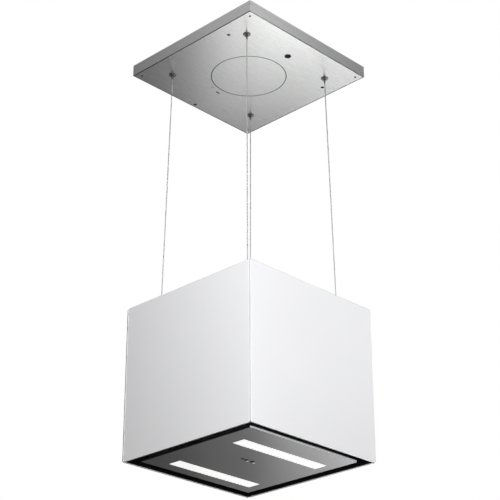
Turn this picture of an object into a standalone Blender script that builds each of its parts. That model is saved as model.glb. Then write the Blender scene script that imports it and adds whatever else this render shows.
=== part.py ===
"""Island range hood: a white glass cube with a drop-down suction panel, hung on four wires
from a steel ceiling box. Metres, +Z up, with the origin at the middle of the ceiling plane."""

import math

import bmesh
import bpy
from mathutils import Matrix, Vector

# Clearances and sheet
CLEAR = 0.0003  # between pieces that touch
RUNNING = 0.0005  # between pieces that move on each other
SHEET = 0.0015
ROOT2 = math.sqrt(2.0)

# Ceiling box
CEILING_SIDE = 0.410
CEILING_DEPTH = 0.030
SKIRT_WALL = 0.0012
SKIRT_GAP = 0.0008
BRACKET_SIDE = 0.392
BRACKET_THICK = 0.0025
DUCT_RADIUS = 0.097
DISC_RADIUS = 0.0940
CABLE_POINT = (0.0, -0.134)
CABLE_HOLE = 0.0068
CEILING_SCREW_REACH = 0.160
CEILING_SCREW_HOLE = 0.004
MARKER_REACH = 0.194
MARKER_HOLE = 0.0035
CORNER_SCREW_REACH = 0.189
CORNER_SCREW_HOLE = 0.0021

# Suspension
WIRE_RADIUS = 0.001
WIRE_TOP = (0.1395, 0.130)
WIRE_HOOD = (0.1486, 0.1406)
WIRE_TAIL = 0.100  # below the hood's upper edge at rest
PILLAR_RADIUS = 0.008
PILLAR_BORE = 0.0044
ANCHOR_FLANGE = 0.00875
ANCHOR_SHANK = 0.0040
ANCHOR_NOSE = 0.0022
ANCHOR_NOSE_LENGTH = 0.0115
GRIPPER_RADIUS = 0.007
GRIPPER_BORE = 0.0029

# Hood cube
HOOD_SIDE = 0.400
HOOD_HEIGHT = 0.370
RIM = -1.035  # height of the glass cube's lower rim
GLASS = 0.004
CHASSIS_HALF = HOOD_SIDE / 2 - GLASS - 0.0007
FLANGE_TOP = 0.045
APERTURE_HALF = 0.140
TOP_FRAME_LEVEL = 0.350
TOP_PANEL_LEVEL = 0.364
GLAND_POINT = (0.0, -0.118)

# Suction panel
PANEL_HALF = 0.170
PANEL_LEVEL = 0.0015
PANEL_THICK = 0.004
TRAY_HALF = 0.158
TRAY_TOP = 0.022
FRONT_LIGHT = (0.010, -0.0865, 0.264, 0.035)  # centre x, centre y, length, width
REAR_LIGHT = (0.0125, 0.1205, 0.255, 0.035)
HINGE_Y = 0.156
HINGE_LEVEL = 0.027
HINGE_X = 0.113
PIN_RADIUS = 0.002

# Grease filter
FILTER_HALF = 0.1385
FILTER_LEVEL = 0.036
FILTER_THICK = 0.010
FILTER_RAIL = 0.020
LATCH_HALF = 0.020

# Blower
BLOWER_Y = -0.020
BLOWER_LEVEL = 0.190
BLOWER_HALF = 0.075
SCROLL_START = 0.088
SCROLL_END = 0.115
TONGUE_Y = 0.044
OUTLET_RISE = 0.110
INLET_RADIUS = 0.062
IMPELLER_RADIUS = 0.078
IMPELLER_HALF = 0.064
BLADE_COUNT = 24
BLADE_CHORD = 0.011
BLADE_THICK = 0.0012
BLADE_TILT = math.radians(32.0)
SHAFT_RADIUS = 0.004
MOTOR_RADIUS = 0.040

# Outlet
PLENUM_HALF = (0.120, 0.098)
PLENUM_LEVEL = 0.3015
PLENUM_WALL = 0.001
CHARCOAL_LEVEL = 0.325
CHARCOAL_THICK = 0.020
SLOT_LENGTH = 0.104
SLOT_WIDTH = 0.006
SLOT_PITCH = 0.014
SLOT_ROWS = 12


def up(height):
    """World height of a level measured from the cube's lower rim."""
    return RIM + height


# ---------------------------------------------------------------- making shapes


def clear_scene():
    for obj in list(bpy.data.objects):
        bpy.data.objects.remove(obj, do_unlink=True)


def material(name, colour, roughness, metallic=0.0, glow=0.0):
    made = bpy.data.materials.new(name)
    made.use_nodes = True
    shader = made.node_tree.nodes["Principled BSDF"]
    shader.inputs["Base Color"].default_value = (*colour, 1.0)
    shader.inputs["Roughness"].default_value = roughness
    shader.inputs["Metallic"].default_value = metallic
    shader.inputs["Emission Color"].default_value = (*colour, 1.0)
    shader.inputs["Emission Strength"].default_value = glow
    return made


def object_from(name, bm, finish, smooth=False):
    """Turns a bmesh into a scene object with the finish, and frees the bmesh."""
    bmesh.ops.recalc_face_normals(bm, faces=bm.faces[:])
    mesh = bpy.data.meshes.new(name)
    bm.to_mesh(mesh)
    bm.free()
    mesh.materials.append(finish)
    if smooth:
        mesh.shade_smooth()
        mesh.set_sharp_from_angle(angle=math.radians(35.0))
    made = bpy.data.objects.new(name, mesh)
    bpy.context.scene.collection.objects.link(made)
    return made


def copy_of(source, name, location=(0.0, 0.0, 0.0), turn=0.0):
    """Another object on the same mesh, with the same modifiers."""
    made = source.copy()
    made.name = name
    made.location = location
    made.rotation_euler = (0.0, 0.0, turn)
    bpy.context.scene.collection.objects.link(made)
    return made


def add_box(bm, low, high, bevel=0.0, segments=2):
    """A box between two corners, with its edges rounded by bevel."""
    size = [b - a for a, b in zip(low, high)]
    middle = [(a + b) / 2 for a, b in zip(low, high)]
    place = Matrix.Translation(middle) @ Matrix.Diagonal((*size, 1.0))
    verts = bmesh.ops.create_cube(bm, size=1.0, matrix=place)["verts"]
    if bevel:
        edges = {edge for vert in verts for edge in vert.link_edges}
        bmesh.ops.bevel(bm, geom=list(edges), offset=bevel, segments=segments,
                        affect="EDGES", profile=0.5, material=-1)


def add_cylinder(bm, radius, start, end, sides=24):
    """A cylinder between two points."""
    start, end = Vector(start), Vector(end)
    turn = (end - start).to_track_quat("Z", "Y").to_matrix().to_4x4()
    place = Matrix.Translation((start + end) / 2) @ turn
    bmesh.ops.create_cone(bm, cap_ends=True, segments=sides, radius1=radius, radius2=radius,
                          depth=(end - start).length, matrix=place)


def turned(profile, sides, phase=0.0):
    """A (radius, height) outline turned about Z. One that starts on the axis is left open there."""
    bm = bmesh.new()
    across = Vector((math.cos(phase), math.sin(phase), 0.0))
    verts = [bm.verts.new(across * r + Vector((0.0, 0.0, z))) for r, z in profile]
    ends = zip(verts, verts[1:] if profile[0][0] == 0.0 else verts[1:] + verts[:1])
    edges = [bm.edges.new(pair) for pair in ends]
    bmesh.ops.spin(bm, geom=verts + edges, cent=(0, 0, 0), axis=(0, 0, 1),
                   angle=2 * math.pi, steps=sides, use_merge=True)
    bmesh.ops.remove_doubles(bm, verts=bm.verts[:], dist=1e-6)
    return bm


def square_ring(profile, ratio=1.0):
    """A (half side, height) outline carried round a square. ratio is the Y side over the X side."""
    bm = turned([(half * ROOT2, z) for half, z in profile], 4, math.pi / 4)
    bmesh.ops.scale(bm, vec=(1.0, ratio, 1.0), verts=bm.verts[:])
    return bm


def rounded_sheet(half_x, half_y, low, high, corner):
    """A flat sheet with its four upright edges rounded."""
    bm = bmesh.new()
    add_box(bm, (-half_x, -half_y, low), (half_x, half_y, high))
    upright = [e for e in bm.edges if abs(e.verts[0].co.z - e.verts[1].co.z) > 1e-6]
    bmesh.ops.bevel(bm, geom=upright, offset=corner, segments=4, affect="EDGES",
                    profile=0.5, material=-1)
    return bm


def boolean(target, helper, operation):
    helper.hide_render = True
    helper.display_type = "WIRE"
    step = target.modifiers.new(helper.name, "BOOLEAN")
    step.operation = operation
    step.solver = "EXACT"
    step.object = helper


def cut(target, bm):
    boolean(target, object_from(target.name + "_cutter", bm, target.data.materials[0]), "DIFFERENCE")


def join(target, bm):
    boolean(target, object_from(target.name + "_addition", bm, target.data.materials[0]), "UNION")


def corners(reach_x, reach_y):
    """The four (x, y) places, starting at the near left corner and going round."""
    return [(-reach_x, -reach_y), (reach_x, -reach_y), (reach_x, reach_y), (-reach_x, reach_y)]


def holes(places, radius, low, high, sides=16):
    bm = bmesh.new()
    for x, y in places:
        add_cylinder(bm, radius, (x, y, low), (x, y, high), sides)
    return bm


def hang_from(pieces, name, location):
    """Parents the pieces of a moving body to an empty that stands on its joint's axis."""
    axis = bpy.data.objects.new(name, None)
    axis.location = location
    bpy.context.scene.collection.objects.link(axis)
    for piece in pieces:
        piece.parent = axis
        piece.location = piece.location - Vector(location)


# ---------------------------------------------------------------- ceiling box


def marker_places():
    """Three small holes round the duct, a third of a turn apart."""
    angles = [math.radians(degrees) for degrees in (90, 210, 330)]
    return [(MARKER_REACH * math.cos(a), MARKER_REACH * math.sin(a)) for a in angles]


def ceiling_frame(finish):
    """The upright skirt, with an inward lip at the top."""
    half = CEILING_SIDE / 2
    inner = half - SKIRT_WALL
    profile = [(inner, -CEILING_DEPTH), (half, -CEILING_DEPTH), (half, 0.0),
               (half - 0.006, 0.0), (half - 0.006, -SKIRT_WALL), (inner, -SKIRT_WALL)]
    frame = object_from("ceiling_frame", square_ring(profile), finish)
    tabs = bmesh.new()
    low, high = -CEILING_DEPTH + SHEET + CLEAR, -CEILING_DEPTH + 2 * SHEET + CLEAR
    reach = CORNER_SCREW_REACH - 0.006
    for x, y in corners(1, 1):
        first = (x * reach, y * reach, low)
        second = (x * (half - SKIRT_WALL / 2), y * (half - SKIRT_WALL / 2), high)
        add_box(tabs, [min(p) for p in zip(first, second)], [max(p) for p in zip(first, second)])
    join(frame, tabs)
    screws = corners(CORNER_SCREW_REACH, CORNER_SCREW_REACH)
    cut(frame, holes(screws, CORNER_SCREW_HOLE, low - 0.001, high + 0.001, 12))
    return frame


def ceiling_plate(finish):
    """The flat underside, set inside the skirt."""
    half = CEILING_SIDE / 2 - SKIRT_WALL - SKIRT_GAP
    low, high = -CEILING_DEPTH, -CEILING_DEPTH + SHEET
    plate = object_from("ceiling_plate", rounded_sheet(half, half, low, high, 0.0015), finish)
    low, high = low - 0.001, high + 0.001
    opening = bmesh.new()
    add_cylinder(opening, DISC_RADIUS + CLEAR, (0, 0, low), (0, 0, high), 72)
    for x, y in corners(*WIRE_TOP):
        add_cylinder(opening, PILLAR_BORE, (x, y, low), (x, y, high), 16)
    for x, y in marker_places():
        add_cylinder(opening, MARKER_HOLE, (x, y, low), (x, y, high), 16)
    for x, y in corners(CORNER_SCREW_REACH, CORNER_SCREW_REACH):
        add_cylinder(opening, CORNER_SCREW_HOLE, (x, y, low), (x, y, high), 12)
    add_cylinder(opening, CABLE_HOLE, (*CABLE_POINT, low), (*CABLE_POINT, high), 20)
    cut(plate, opening)
    return plate


def ceiling_bracket(finish):
    """The plate that is screwed to the ceiling, with four hollow pillars for the wire anchors."""
    half = BRACKET_SIDE / 2
    bracket = object_from("ceiling_bracket",
                          rounded_sheet(half, half, -BRACKET_THICK, 0.0, 0.006), finish)
    foot = -CEILING_DEPTH + SHEET + CLEAR
    join(bracket, holes(corners(*WIRE_TOP), PILLAR_RADIUS, foot, -BRACKET_THICK / 2, 16))
    opening = bmesh.new()
    add_cylinder(opening, DUCT_RADIUS, (0, 0, -BRACKET_THICK - 0.001), (0, 0, 0.001), 64)
    for x, y in corners(*WIRE_TOP):
        add_cylinder(opening, PILLAR_BORE, (x, y, foot - 0.001), (x, y, -0.004), 16)
    reach = CEILING_SCREW_REACH
    for x, y in ((reach, 0), (-reach, 0), (0, reach), (0, -reach)):
        add_cylinder(opening, CEILING_SCREW_HOLE, (x, y, -BRACKET_THICK - 0.001), (x, y, 0.001), 16)
    cut(bracket, opening)
    return bracket


def duct_blanking_disc(finish):
    """Closes the duct opening: a disc level with the plate, with a wider step behind it."""
    low = -CEILING_DEPTH
    step = low + SHEET + CLEAR
    profile = [(0.0, low), (DISC_RADIUS, low), (DISC_RADIUS, step),
               (DISC_RADIUS + 0.007, step), (DISC_RADIUS + 0.007, step + 0.001), (0.0, step + 0.001)]
    return object_from("duct_blanking_disc", turned(profile, 72), finish, smooth=True)


def cable_grommet(finish):
    """Rubber ring in the cable hole."""
    low, high = -CEILING_DEPTH - CLEAR, -CEILING_DEPTH + SHEET + CLEAR
    bore, neck, flange = 0.005, CABLE_HOLE - CLEAR, 0.008
    profile = [(bore, low - 0.001), (flange, low - 0.001), (flange, low), (neck, low),
               (neck, high), (flange, high), (flange, high + 0.001), (bore, high + 0.001)]
    ring = object_from("cable_grommet", turned(profile, 16), finish, smooth=True)
    ring.location = (*CABLE_POINT, 0.0)
    return ring


def wire_anchors(finish):
    """Screwed into the pillars: a flange under the plate and a tapering nose that the wire leaves."""
    face = -CEILING_DEPTH - CLEAR
    nose = face - 0.002 - ANCHOR_NOSE_LENGTH
    bore = WIRE_RADIUS + RUNNING
    profile = [(bore, nose), (ANCHOR_NOSE, nose), (ANCHOR_NOSE + 0.0004, nose + 0.0008),
               (0.0046, face - 0.0028), (0.0056, face - 0.002), (ANCHOR_FLANGE - 0.0005, face - 0.002),
               (ANCHOR_FLANGE, face - 0.0015), (ANCHOR_FLANGE, face), (ANCHOR_SHANK, face),
               (ANCHOR_SHANK, -0.017), (bore, -0.017)]
    first = object_from("wire_anchor_1", turned(profile, 16), finish, smooth=True)
    places = corners(*WIRE_TOP)
    first.location = (*places[0], 0.0)
    for index, place in enumerate(places[1:], 2):
        copy_of(first, f"wire_anchor_{index}", (*place, 0.0))


def plate_screws(finish):
    """Small countersunk screws that hold the plate to the skirt's corner tabs."""
    face = -CEILING_DEPTH - CLEAR
    shank = CORNER_SCREW_HOLE - CLEAR
    profile = [(0.0, face - 0.0012), (0.0016, face - 0.0011), (0.0026, face - 0.0004),
               (0.0026, face), (shank, face), (shank, -0.0235), (0.0, -0.0225)]
    first = object_from("plate_screw_1", turned(profile, 10), finish, smooth=True)
    places = corners(CORNER_SCREW_REACH, CORNER_SCREW_REACH)
    first.location = (*places[0], 0.0)
    for index, place in enumerate(places[1:], 2):
        copy_of(first, f"plate_screw_{index}", (*place, 0.0))


def suspension_wires(finish):
    """Wires with a swaged stop at each end. Each one splays from its anchor to the hood's corner
    and ends in a straight tail inside the hood."""
    nose = -CEILING_DEPTH - CLEAR - 0.002 - ANCHOR_NOSE_LENGTH
    upper = up(HOOD_HEIGHT) + 0.008
    for index, (side_x, side_y) in enumerate(corners(1, 1), 1):
        top = (side_x * WIRE_TOP[0], side_y * WIRE_TOP[1])
        foot = (side_x * WIRE_HOOD[0], side_y * WIRE_HOOD[1])
        tail = up(HOOD_HEIGHT) - WIRE_TAIL
        stops = [(*top, -0.0120), (*top, -0.0165), (*top, -0.0170), (*top, nose - 0.001), (*foot, upper),
                 (*foot, tail + 0.0065), (*foot, tail + 0.006), (*foot, tail)]
        swell = [2.2, 2.2, 1.0, 1.0, 1.0, 1.0, 1.6, 1.6]
        line = bpy.data.curves.new(f"suspension_wire_{index}", "CURVE")
        line.dimensions = "3D"
        line.bevel_depth = WIRE_RADIUS
        line.bevel_resolution = 2
        line.use_fill_caps = True
        line.materials.append(finish)
        run = line.splines.new("POLY")
        run.points.add(len(stops) - 1)
        for point, place, wide in zip(run.points, stops, swell):
            point.co = (*place, 1.0)
            point.radius = wide
        wire = bpy.data.objects.new(f"suspension_wire_{index}", line)
        bpy.context.scene.collection.objects.link(wire)


# ---------------------------------------------------------------- hood cube


def glass_panels(finish):
    """Front and rear panes run the full width; the side panes stand between them."""
    half = HOOD_SIDE / 2
    low, high = up(0.0), up(HOOD_HEIGHT)
    inner = half - GLASS - CLEAR
    panes = {
        "glass_front": ((-half, -half, low), (half, -half + GLASS, high)),
        "glass_rear": ((-half, half - GLASS, low), (half, half, high)),
        "glass_left": ((-half, -inner, low), (-half + GLASS, inner, high)),
        "glass_right": ((half - GLASS, -inner, low), (half, inner, high)),
    }
    for name, (first, second) in panes.items():
        bm = bmesh.new()
        add_box(bm, first, second, bevel=0.0006)
        object_from(name, bm, finish)


def suction_frame(finish):
    """Black shell round the suction channel, with a ceiling that holds the grease filter."""
    wall = CHASSIS_HALF - 0.0012
    under = up(FLANGE_TOP - 0.0012)
    profile = [(wall, up(0.001)), (CHASSIS_HALF, up(0.001)), (CHASSIS_HALF, up(FLANGE_TOP)),
               (APERTURE_HALF, up(FLANGE_TOP)), (APERTURE_HALF, under), (wall, under)]
    return object_from("suction_frame", square_ring(profile), finish)


def bottom_frame(finish):
    """Angle-section ring of the chassis, on top of the suction frame."""
    low = up(FLANGE_TOP) + CLEAR
    profile = [(0.172, low), (CHASSIS_HALF, low), (CHASSIS_HALF, low + 0.016),
               (CHASSIS_HALF - SHEET, low + 0.016), (CHASSIS_HALF - SHEET, low + SHEET),
               (0.172, low + SHEET)]
    return object_from("bottom_frame", square_ring(profile), finish)


def corner_posts(finish):
    """Four angle posts between the chassis rings."""
    low, high = up(FLANGE_TOP) + 2 * CLEAR + SHEET, up(TOP_FRAME_LEVEL) - CLEAR
    outer = CHASSIS_HALF - SHEET - CLEAR
    leg = 0.022
    bm = bmesh.new()
    outline = [(0, 0), (leg, 0), (leg, SHEET), (SHEET, SHEET), (SHEET, leg), (0, leg)]
    face = bm.faces.new([bm.verts.new((x - outer, y - outer, low)) for x, y in outline])
    grown = bmesh.ops.extrude_face_region(bm, geom=[face])
    bmesh.ops.translate(bm, vec=(0, 0, high - low),
                        verts=[v for v in grown["geom"] if isinstance(v, bmesh.types.BMVert)])
    first = object_from("corner_post_1", bm, finish)
    for index in (2, 3, 4):
        copy_of(first, f"corner_post_{index}", turn=(index - 1) * math.pi / 2)


def top_frame(finish):
    """Upper chassis plate, open over the outlet plenum, with wire and cable holes."""
    low, high = up(TOP_FRAME_LEVEL), up(TOP_FRAME_LEVEL) + 0.002
    bm = bmesh.new()
    add_box(bm, (-CHASSIS_HALF, -CHASSIS_HALF, low), (CHASSIS_HALF, CHASSIS_HALF, high))
    frame = object_from("top_frame", bm, finish)
    low, high = low - 0.001, high + 0.001
    opening = holes(corners(*WIRE_HOOD), 0.0058, low, high)
    add_cylinder(opening, 0.006, (*GLAND_POINT, low), (*GLAND_POINT, high), 16)
    inset = 0.004
    add_box(opening, (inset - PLENUM_HALF[0], inset - PLENUM_HALF[1], low),
            (PLENUM_HALF[0] - inset, PLENUM_HALF[1] - inset, high))
    cut(frame, opening)
    return frame


def top_panel(finish):
    """White cover over the chassis, with two banks of outlet slots."""
    low, high = up(TOP_PANEL_LEVEL), up(TOP_PANEL_LEVEL) + 0.002
    panel = object_from("top_panel", rounded_sheet(CHASSIS_HALF, CHASSIS_HALF, low, high, 0.001), finish)
    low, high = low - 0.001, high + 0.001
    opening = holes(corners(*WIRE_HOOD), GRIPPER_RADIUS + CLEAR, low, high)
    add_cylinder(opening, 0.0084, (*GLAND_POINT, low), (*GLAND_POINT, high), 20)
    for row in range(SLOT_ROWS):
        y = (row - (SLOT_ROWS - 1) / 2) * SLOT_PITCH
        for x in (-SLOT_LENGTH / 2 - 0.005, SLOT_LENGTH / 2 + 0.005):
            add_box(opening, (x - SLOT_LENGTH / 2, y - SLOT_WIDTH / 2, low),
                    (x + SLOT_LENGTH / 2, y + SLOT_WIDTH / 2, high))
    cut(panel, opening)
    return panel


def wire_grippers(finish):
    """Barrels on the upper chassis plate that the wires run down through."""
    seat = up(TOP_FRAME_LEVEL) + 0.002 + CLEAR
    top = up(HOOD_HEIGHT) + 0.006
    profile = [(GRIPPER_BORE, seat - 0.009), (0.0052, seat - 0.009), (0.0052, seat), (GRIPPER_RADIUS, seat),
               (GRIPPER_RADIUS, top - 0.003), (0.0045, top), (GRIPPER_BORE, top)]
    first = object_from("wire_gripper_1", turned(profile, 16), finish, smooth=True)
    places = corners(*WIRE_HOOD)
    first.location = (*places[0], 0.0)
    for index, place in enumerate(places[1:], 2):
        copy_of(first, f"wire_gripper_{index}", (*place, 0.0))


def cable_gland(finish):
    """Gland for the supply cable in the top panel."""
    seat = up(TOP_PANEL_LEVEL) + 0.002 + CLEAR
    bore = 0.005
    profile = [(bore, seat - 0.010), (0.008, seat - 0.010), (0.008, seat), (0.011, seat),
               (0.011, seat + 0.005), (0.0085, seat + 0.006), (0.0075, seat + 0.012), (bore, seat + 0.012)]
    gland = object_from("cable_gland", turned(profile, 16), finish, smooth=True)
    gland.location = (*GLAND_POINT, 0.0)
    return gland


# ---------------------------------------------------------------- grease filter


def filter_frame(finish):
    """Aluminium frame that fills the aperture, with a slot in its front rail for the latch."""
    low, high = up(FILTER_LEVEL), up(FILTER_LEVEL + FILTER_THICK)
    inner = FILTER_HALF - FILTER_RAIL
    profile = [(inner, low), (FILTER_HALF, low), (FILTER_HALF, high), (inner, high)]
    frame = object_from("filter_frame", square_ring(profile), finish)
    slot = bmesh.new()
    add_box(slot, (-LATCH_HALF - 0.002, -FILTER_HALF + 0.006, low - 0.001),
            (LATCH_HALF + 0.002, -FILTER_HALF + 0.015, high + 0.001))
    cut(frame, slot)
    return frame


def filter_mesh(finish):
    """Layered metal mesh inside the filter frame."""
    half = FILTER_HALF - FILTER_RAIL - CLEAR
    bm = bmesh.new()
    add_box(bm, (-half, -half, up(FILTER_LEVEL + 0.002)), (half, half, up(FILTER_LEVEL + 0.008)))
    return object_from("filter_mesh", bm, finish)


def filter_latch(finish):
    """Sliding latch: a tongue over the suction frame and a grip that hangs through the slot."""
    top = up(FILTER_LEVEL + FILTER_THICK) + RUNNING
    bm = bmesh.new()
    add_box(bm, (-LATCH_HALF, -APERTURE_HALF - 0.003, top), (LATCH_HALF, -FILTER_HALF + 0.018, top + 0.002))
    latch = object_from("filter_latch", bm, finish)
    grip = bmesh.new()
    edge = -FILTER_HALF + 0.007
    add_box(grip, (-LATCH_HALF + 0.001, edge, up(FILTER_LEVEL - 0.006)),
            (LATCH_HALF - 0.001, edge + 0.003, top + 0.001))
    join(latch, grip)
    return latch


# ---------------------------------------------------------------- suction panel


def light_box(light, low, high, margin=0.0):
    """The corners of a box that fills a light's opening, grown by margin."""
    x, y, length, width = light
    reach_x, reach_y = length / 2 + margin, width / 2 + margin
    return (x - reach_x, y - reach_y, low), (x + reach_x, y + reach_y, high)


def panel_face(finish):
    """Dark glass face of the panel, open at the two lights."""
    low, high = up(PANEL_LEVEL), up(PANEL_LEVEL + PANEL_THICK)
    bm = rounded_sheet(PANEL_HALF, PANEL_HALF, low, high, 0.0025)
    face = object_from("panel_face", bm, finish)
    opening = bmesh.new()
    for light in (FRONT_LIGHT, REAR_LIGHT):
        add_box(opening, *light_box(light, low - 0.001, high + 0.001, CLEAR))
    cut(face, opening)
    return face


def light_diffuser(name, light, finish):
    bm = bmesh.new()
    add_box(bm, *light_box(light, up(PANEL_LEVEL), up(PANEL_LEVEL + 0.003)))
    return object_from(name, bm, finish)


def led_board(name, light, finish):
    bm = bmesh.new()
    low, high = up(0.0115), up(0.0131)
    add_box(bm, *light_box(light, low, high, -0.006))
    return object_from(name, bm, finish)


def touch_board(finish):
    """Sensor board behind the touch marks."""
    low = up(PANEL_LEVEL + PANEL_THICK) + CLEAR
    bm = bmesh.new()
    add_box(bm, (-0.035, -0.012, low), (0.029, 0.012, low + 0.0016))
    return object_from("touch_board", bm, finish)


def panel_tray(finish):
    """Steel tray behind the face, with two ears for the hinge pins."""
    low, high = up(PANEL_LEVEL + PANEL_THICK) + CLEAR, up(TRAY_TOP)
    inner = TRAY_HALF - 0.001
    profile = [(0.0, high - 0.001), (inner, high - 0.001), (inner, low), (TRAY_HALF, low),
               (TRAY_HALF, high), (0.0, high)]
    tray = object_from("panel_tray", square_ring(profile), finish)
    ears = bmesh.new()
    for side in (-1, 1):
        near, far = sorted((side * (HINGE_X - 0.001), side * (HINGE_X + 0.001)))
        ear_top = up(HINGE_LEVEL) + 0.005
        add_box(ears, (near, HINGE_Y - 0.0055, high - 0.0005), (far, HINGE_Y + 0.0019, ear_top))
    join(tray, ears)
    bores = bmesh.new()
    for side in (-1, 1):
        add_cylinder(bores, PIN_RADIUS + CLEAR, (side * (HINGE_X - 0.003), HINGE_Y, up(HINGE_LEVEL)),
                     (side * (HINGE_X + 0.003), HINGE_Y, up(HINGE_LEVEL)), 16)
    cut(tray, bores)
    return tray


def hinge_pin(name, side, finish):
    """Headed pin along X, on the panel's hinge line."""
    reach = HINGE_X + 0.0065
    profile = [(0.0, -reach), (PIN_RADIUS, -reach), (PIN_RADIUS, -HINGE_X + 0.0016),
               (0.0034, -HINGE_X + 0.0016), (0.0034, -HINGE_X + 0.0034), (0.0, -HINGE_X + 0.0034)]
    bm = turned(profile, 16)
    turn = Matrix.Rotation(-side * math.pi / 2, 3, "Y")
    bmesh.ops.rotate(bm, cent=(0, 0, 0), matrix=turn, verts=bm.verts[:])
    bmesh.ops.translate(bm, vec=(0, HINGE_Y, up(HINGE_LEVEL)), verts=bm.verts[:])
    return object_from(name, bm, finish, smooth=True)


def hinge_bracket(name, side, finish):
    """Lug under the suction frame's ceiling that carries a hinge pin."""
    near, far = side * (HINGE_X + 0.0035), side * (HINGE_X + 0.0055)
    top = up(FLANGE_TOP - 0.0012) - CLEAR
    radius = 0.0045
    bm = bmesh.new()
    low, high = min(near, far), max(near, far)
    add_cylinder(bm, radius, (low, HINGE_Y, up(HINGE_LEVEL)), (high, HINGE_Y, up(HINGE_LEVEL)), 20)
    lug = object_from(name, bm, finish)
    web = bmesh.new()
    add_box(web, (low, HINGE_Y - radius, up(HINGE_LEVEL) + 0.0005), (high, HINGE_Y + radius, top))
    join(lug, web)
    foot = bmesh.new()
    add_box(foot, (low - 0.004, HINGE_Y - 0.0065, top - SHEET), (high + 0.004, HINGE_Y + 0.0065, top))
    join(lug, foot)
    bore = bmesh.new()
    add_cylinder(bore, PIN_RADIUS + CLEAR, (low - 0.001, HINGE_Y, up(HINGE_LEVEL)),
                 (high + 0.001, HINGE_Y, up(HINGE_LEVEL)), 16)
    cut(lug, bore)
    return lug


def panel_catch(housing_finish, plunger_finish):
    """Spring catch at the front of the panel: a housing and the plunger that slides in it."""
    y = -0.151
    top = up(FLANGE_TOP - 0.0012) - CLEAR
    bm = bmesh.new()
    add_box(bm, (-0.014, y - 0.008, up(0.029)), (0.014, y + 0.008, top), bevel=0.001, segments=1)
    housing = object_from("catch_housing", bm, housing_finish)
    bore = bmesh.new()
    add_cylinder(bore, 0.004 + RUNNING, (0, y, up(0.028)), (0, y, up(0.0405)), 16)
    cut(housing, bore)
    tip = up(TRAY_TOP) + 0.0005
    profile = [(0.0, tip), (0.0028, tip), (0.004, tip + 0.0012), (0.004, up(0.0355)), (0.0, up(0.0355))]
    plunger = object_from("catch_plunger", turned(profile, 16), plunger_finish, smooth=True)
    plunger.location = (0.0, y, 0.0)
    return plunger


# ---------------------------------------------------------------- blower


def scroll_outline(inset, rise):
    """(y, z) outline of the scroll about the fan's axis: a spiral that opens into the outlet."""
    start = math.acos((TONGUE_Y + inset) / (SCROLL_START - inset))
    turns = 36
    spiral = []
    for step in range(turns + 1):
        share = step / turns
        angle = start + share * (2 * math.pi - start)
        radius = SCROLL_START + share * (SCROLL_END - SCROLL_START) - inset
        spiral.append((radius * math.cos(angle), radius * math.sin(angle)))
    return spiral + [(SCROLL_END - inset, rise), (TONGUE_Y + inset, rise)]


def scroll_solid(inset, rise, half):
    bm = bmesh.new()
    outline = [Vector((-half, BLOWER_Y + y, up(BLOWER_LEVEL) + z)) for y, z in scroll_outline(inset, rise)]
    face = bm.faces.new([bm.verts.new(point) for point in outline])
    grown = bmesh.ops.extrude_face_region(bm, geom=[face])
    bmesh.ops.translate(bm, vec=(2 * half, 0, 0),
                        verts=[v for v in grown["geom"] if isinstance(v, bmesh.types.BMVert)])
    return bm


def blower_housing(finish):
    """Scroll with an inlet on each side and its outlet at the top."""
    housing = object_from("blower_housing", scroll_solid(0.0, OUTLET_RISE, BLOWER_HALF), finish)
    cut(housing, scroll_solid(SHEET, OUTLET_RISE + 0.01, BLOWER_HALF - SHEET))
    inlets = bmesh.new()
    add_cylinder(inlets, INLET_RADIUS, (-BLOWER_HALF - 0.002, BLOWER_Y, up(BLOWER_LEVEL)),
                 (BLOWER_HALF + 0.002, BLOWER_Y, up(BLOWER_LEVEL)), 40)
    cut(housing, inlets)
    return housing


def impeller(finish):
    """Two-sided fan wheel: a centre disc with its hub, two end rings and the blades between them."""
    disc = 0.0015
    bore = SHAFT_RADIUS + CLEAR
    rim = IMPELLER_RADIUS - 0.003
    profile = [(bore, -0.004), (0.012, -0.004), (0.012, -disc), (rim, -disc),
               (rim, disc), (0.012, disc), (0.012, 0.007), (bore, 0.007)]
    wheel = turned(profile, 32)
    blades = bmesh.new()
    middle = IMPELLER_RADIUS - 0.0065
    for index in range(BLADE_COUNT):
        angle = 2 * math.pi * index / BLADE_COUNT
        bar = bmesh.ops.create_cube(blades, size=1.0)["verts"]
        place = (Matrix.Rotation(angle, 4, "Z") @ Matrix.Translation((middle, 0, 0))
                 @ Matrix.Rotation(BLADE_TILT, 4, "Z")
                 @ Matrix.Diagonal((BLADE_CHORD, BLADE_THICK, 2 * IMPELLER_HALF - 0.002, 1.0)))
        bmesh.ops.transform(blades, matrix=place, verts=bar)
    rings = bmesh.new()
    for level in (-IMPELLER_HALF, IMPELLER_HALF - 0.003):
        ring = turned([(IMPELLER_RADIUS - 0.0125, level), (IMPELLER_RADIUS, level),
                       (IMPELLER_RADIUS, level + 0.003), (IMPELLER_RADIUS - 0.0125, level + 0.003)], 32)
        copy = bpy.data.meshes.new("ring")
        ring.to_mesh(copy)
        ring.free()
        rings.from_mesh(copy)
        bpy.data.meshes.remove(copy)
    across = Matrix.Translation((0, BLOWER_Y, up(BLOWER_LEVEL))) @ Matrix.Rotation(math.pi / 2, 4, "Y")
    for bm in (wheel, blades, rings):
        bmesh.ops.transform(bm, matrix=across, verts=bm.verts[:])
    made = object_from("impeller", wheel, finish, smooth=True)
    join(made, blades)
    join(made, rings)
    return made


def motor_shaft(finish):
    bm = bmesh.new()
    level = up(BLOWER_LEVEL)
    add_cylinder(bm, SHAFT_RADIUS, (-0.006, BLOWER_Y, level), (0.040, BLOWER_Y, level), 16)
    return object_from("motor_shaft", bm, finish, smooth=True)


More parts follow.
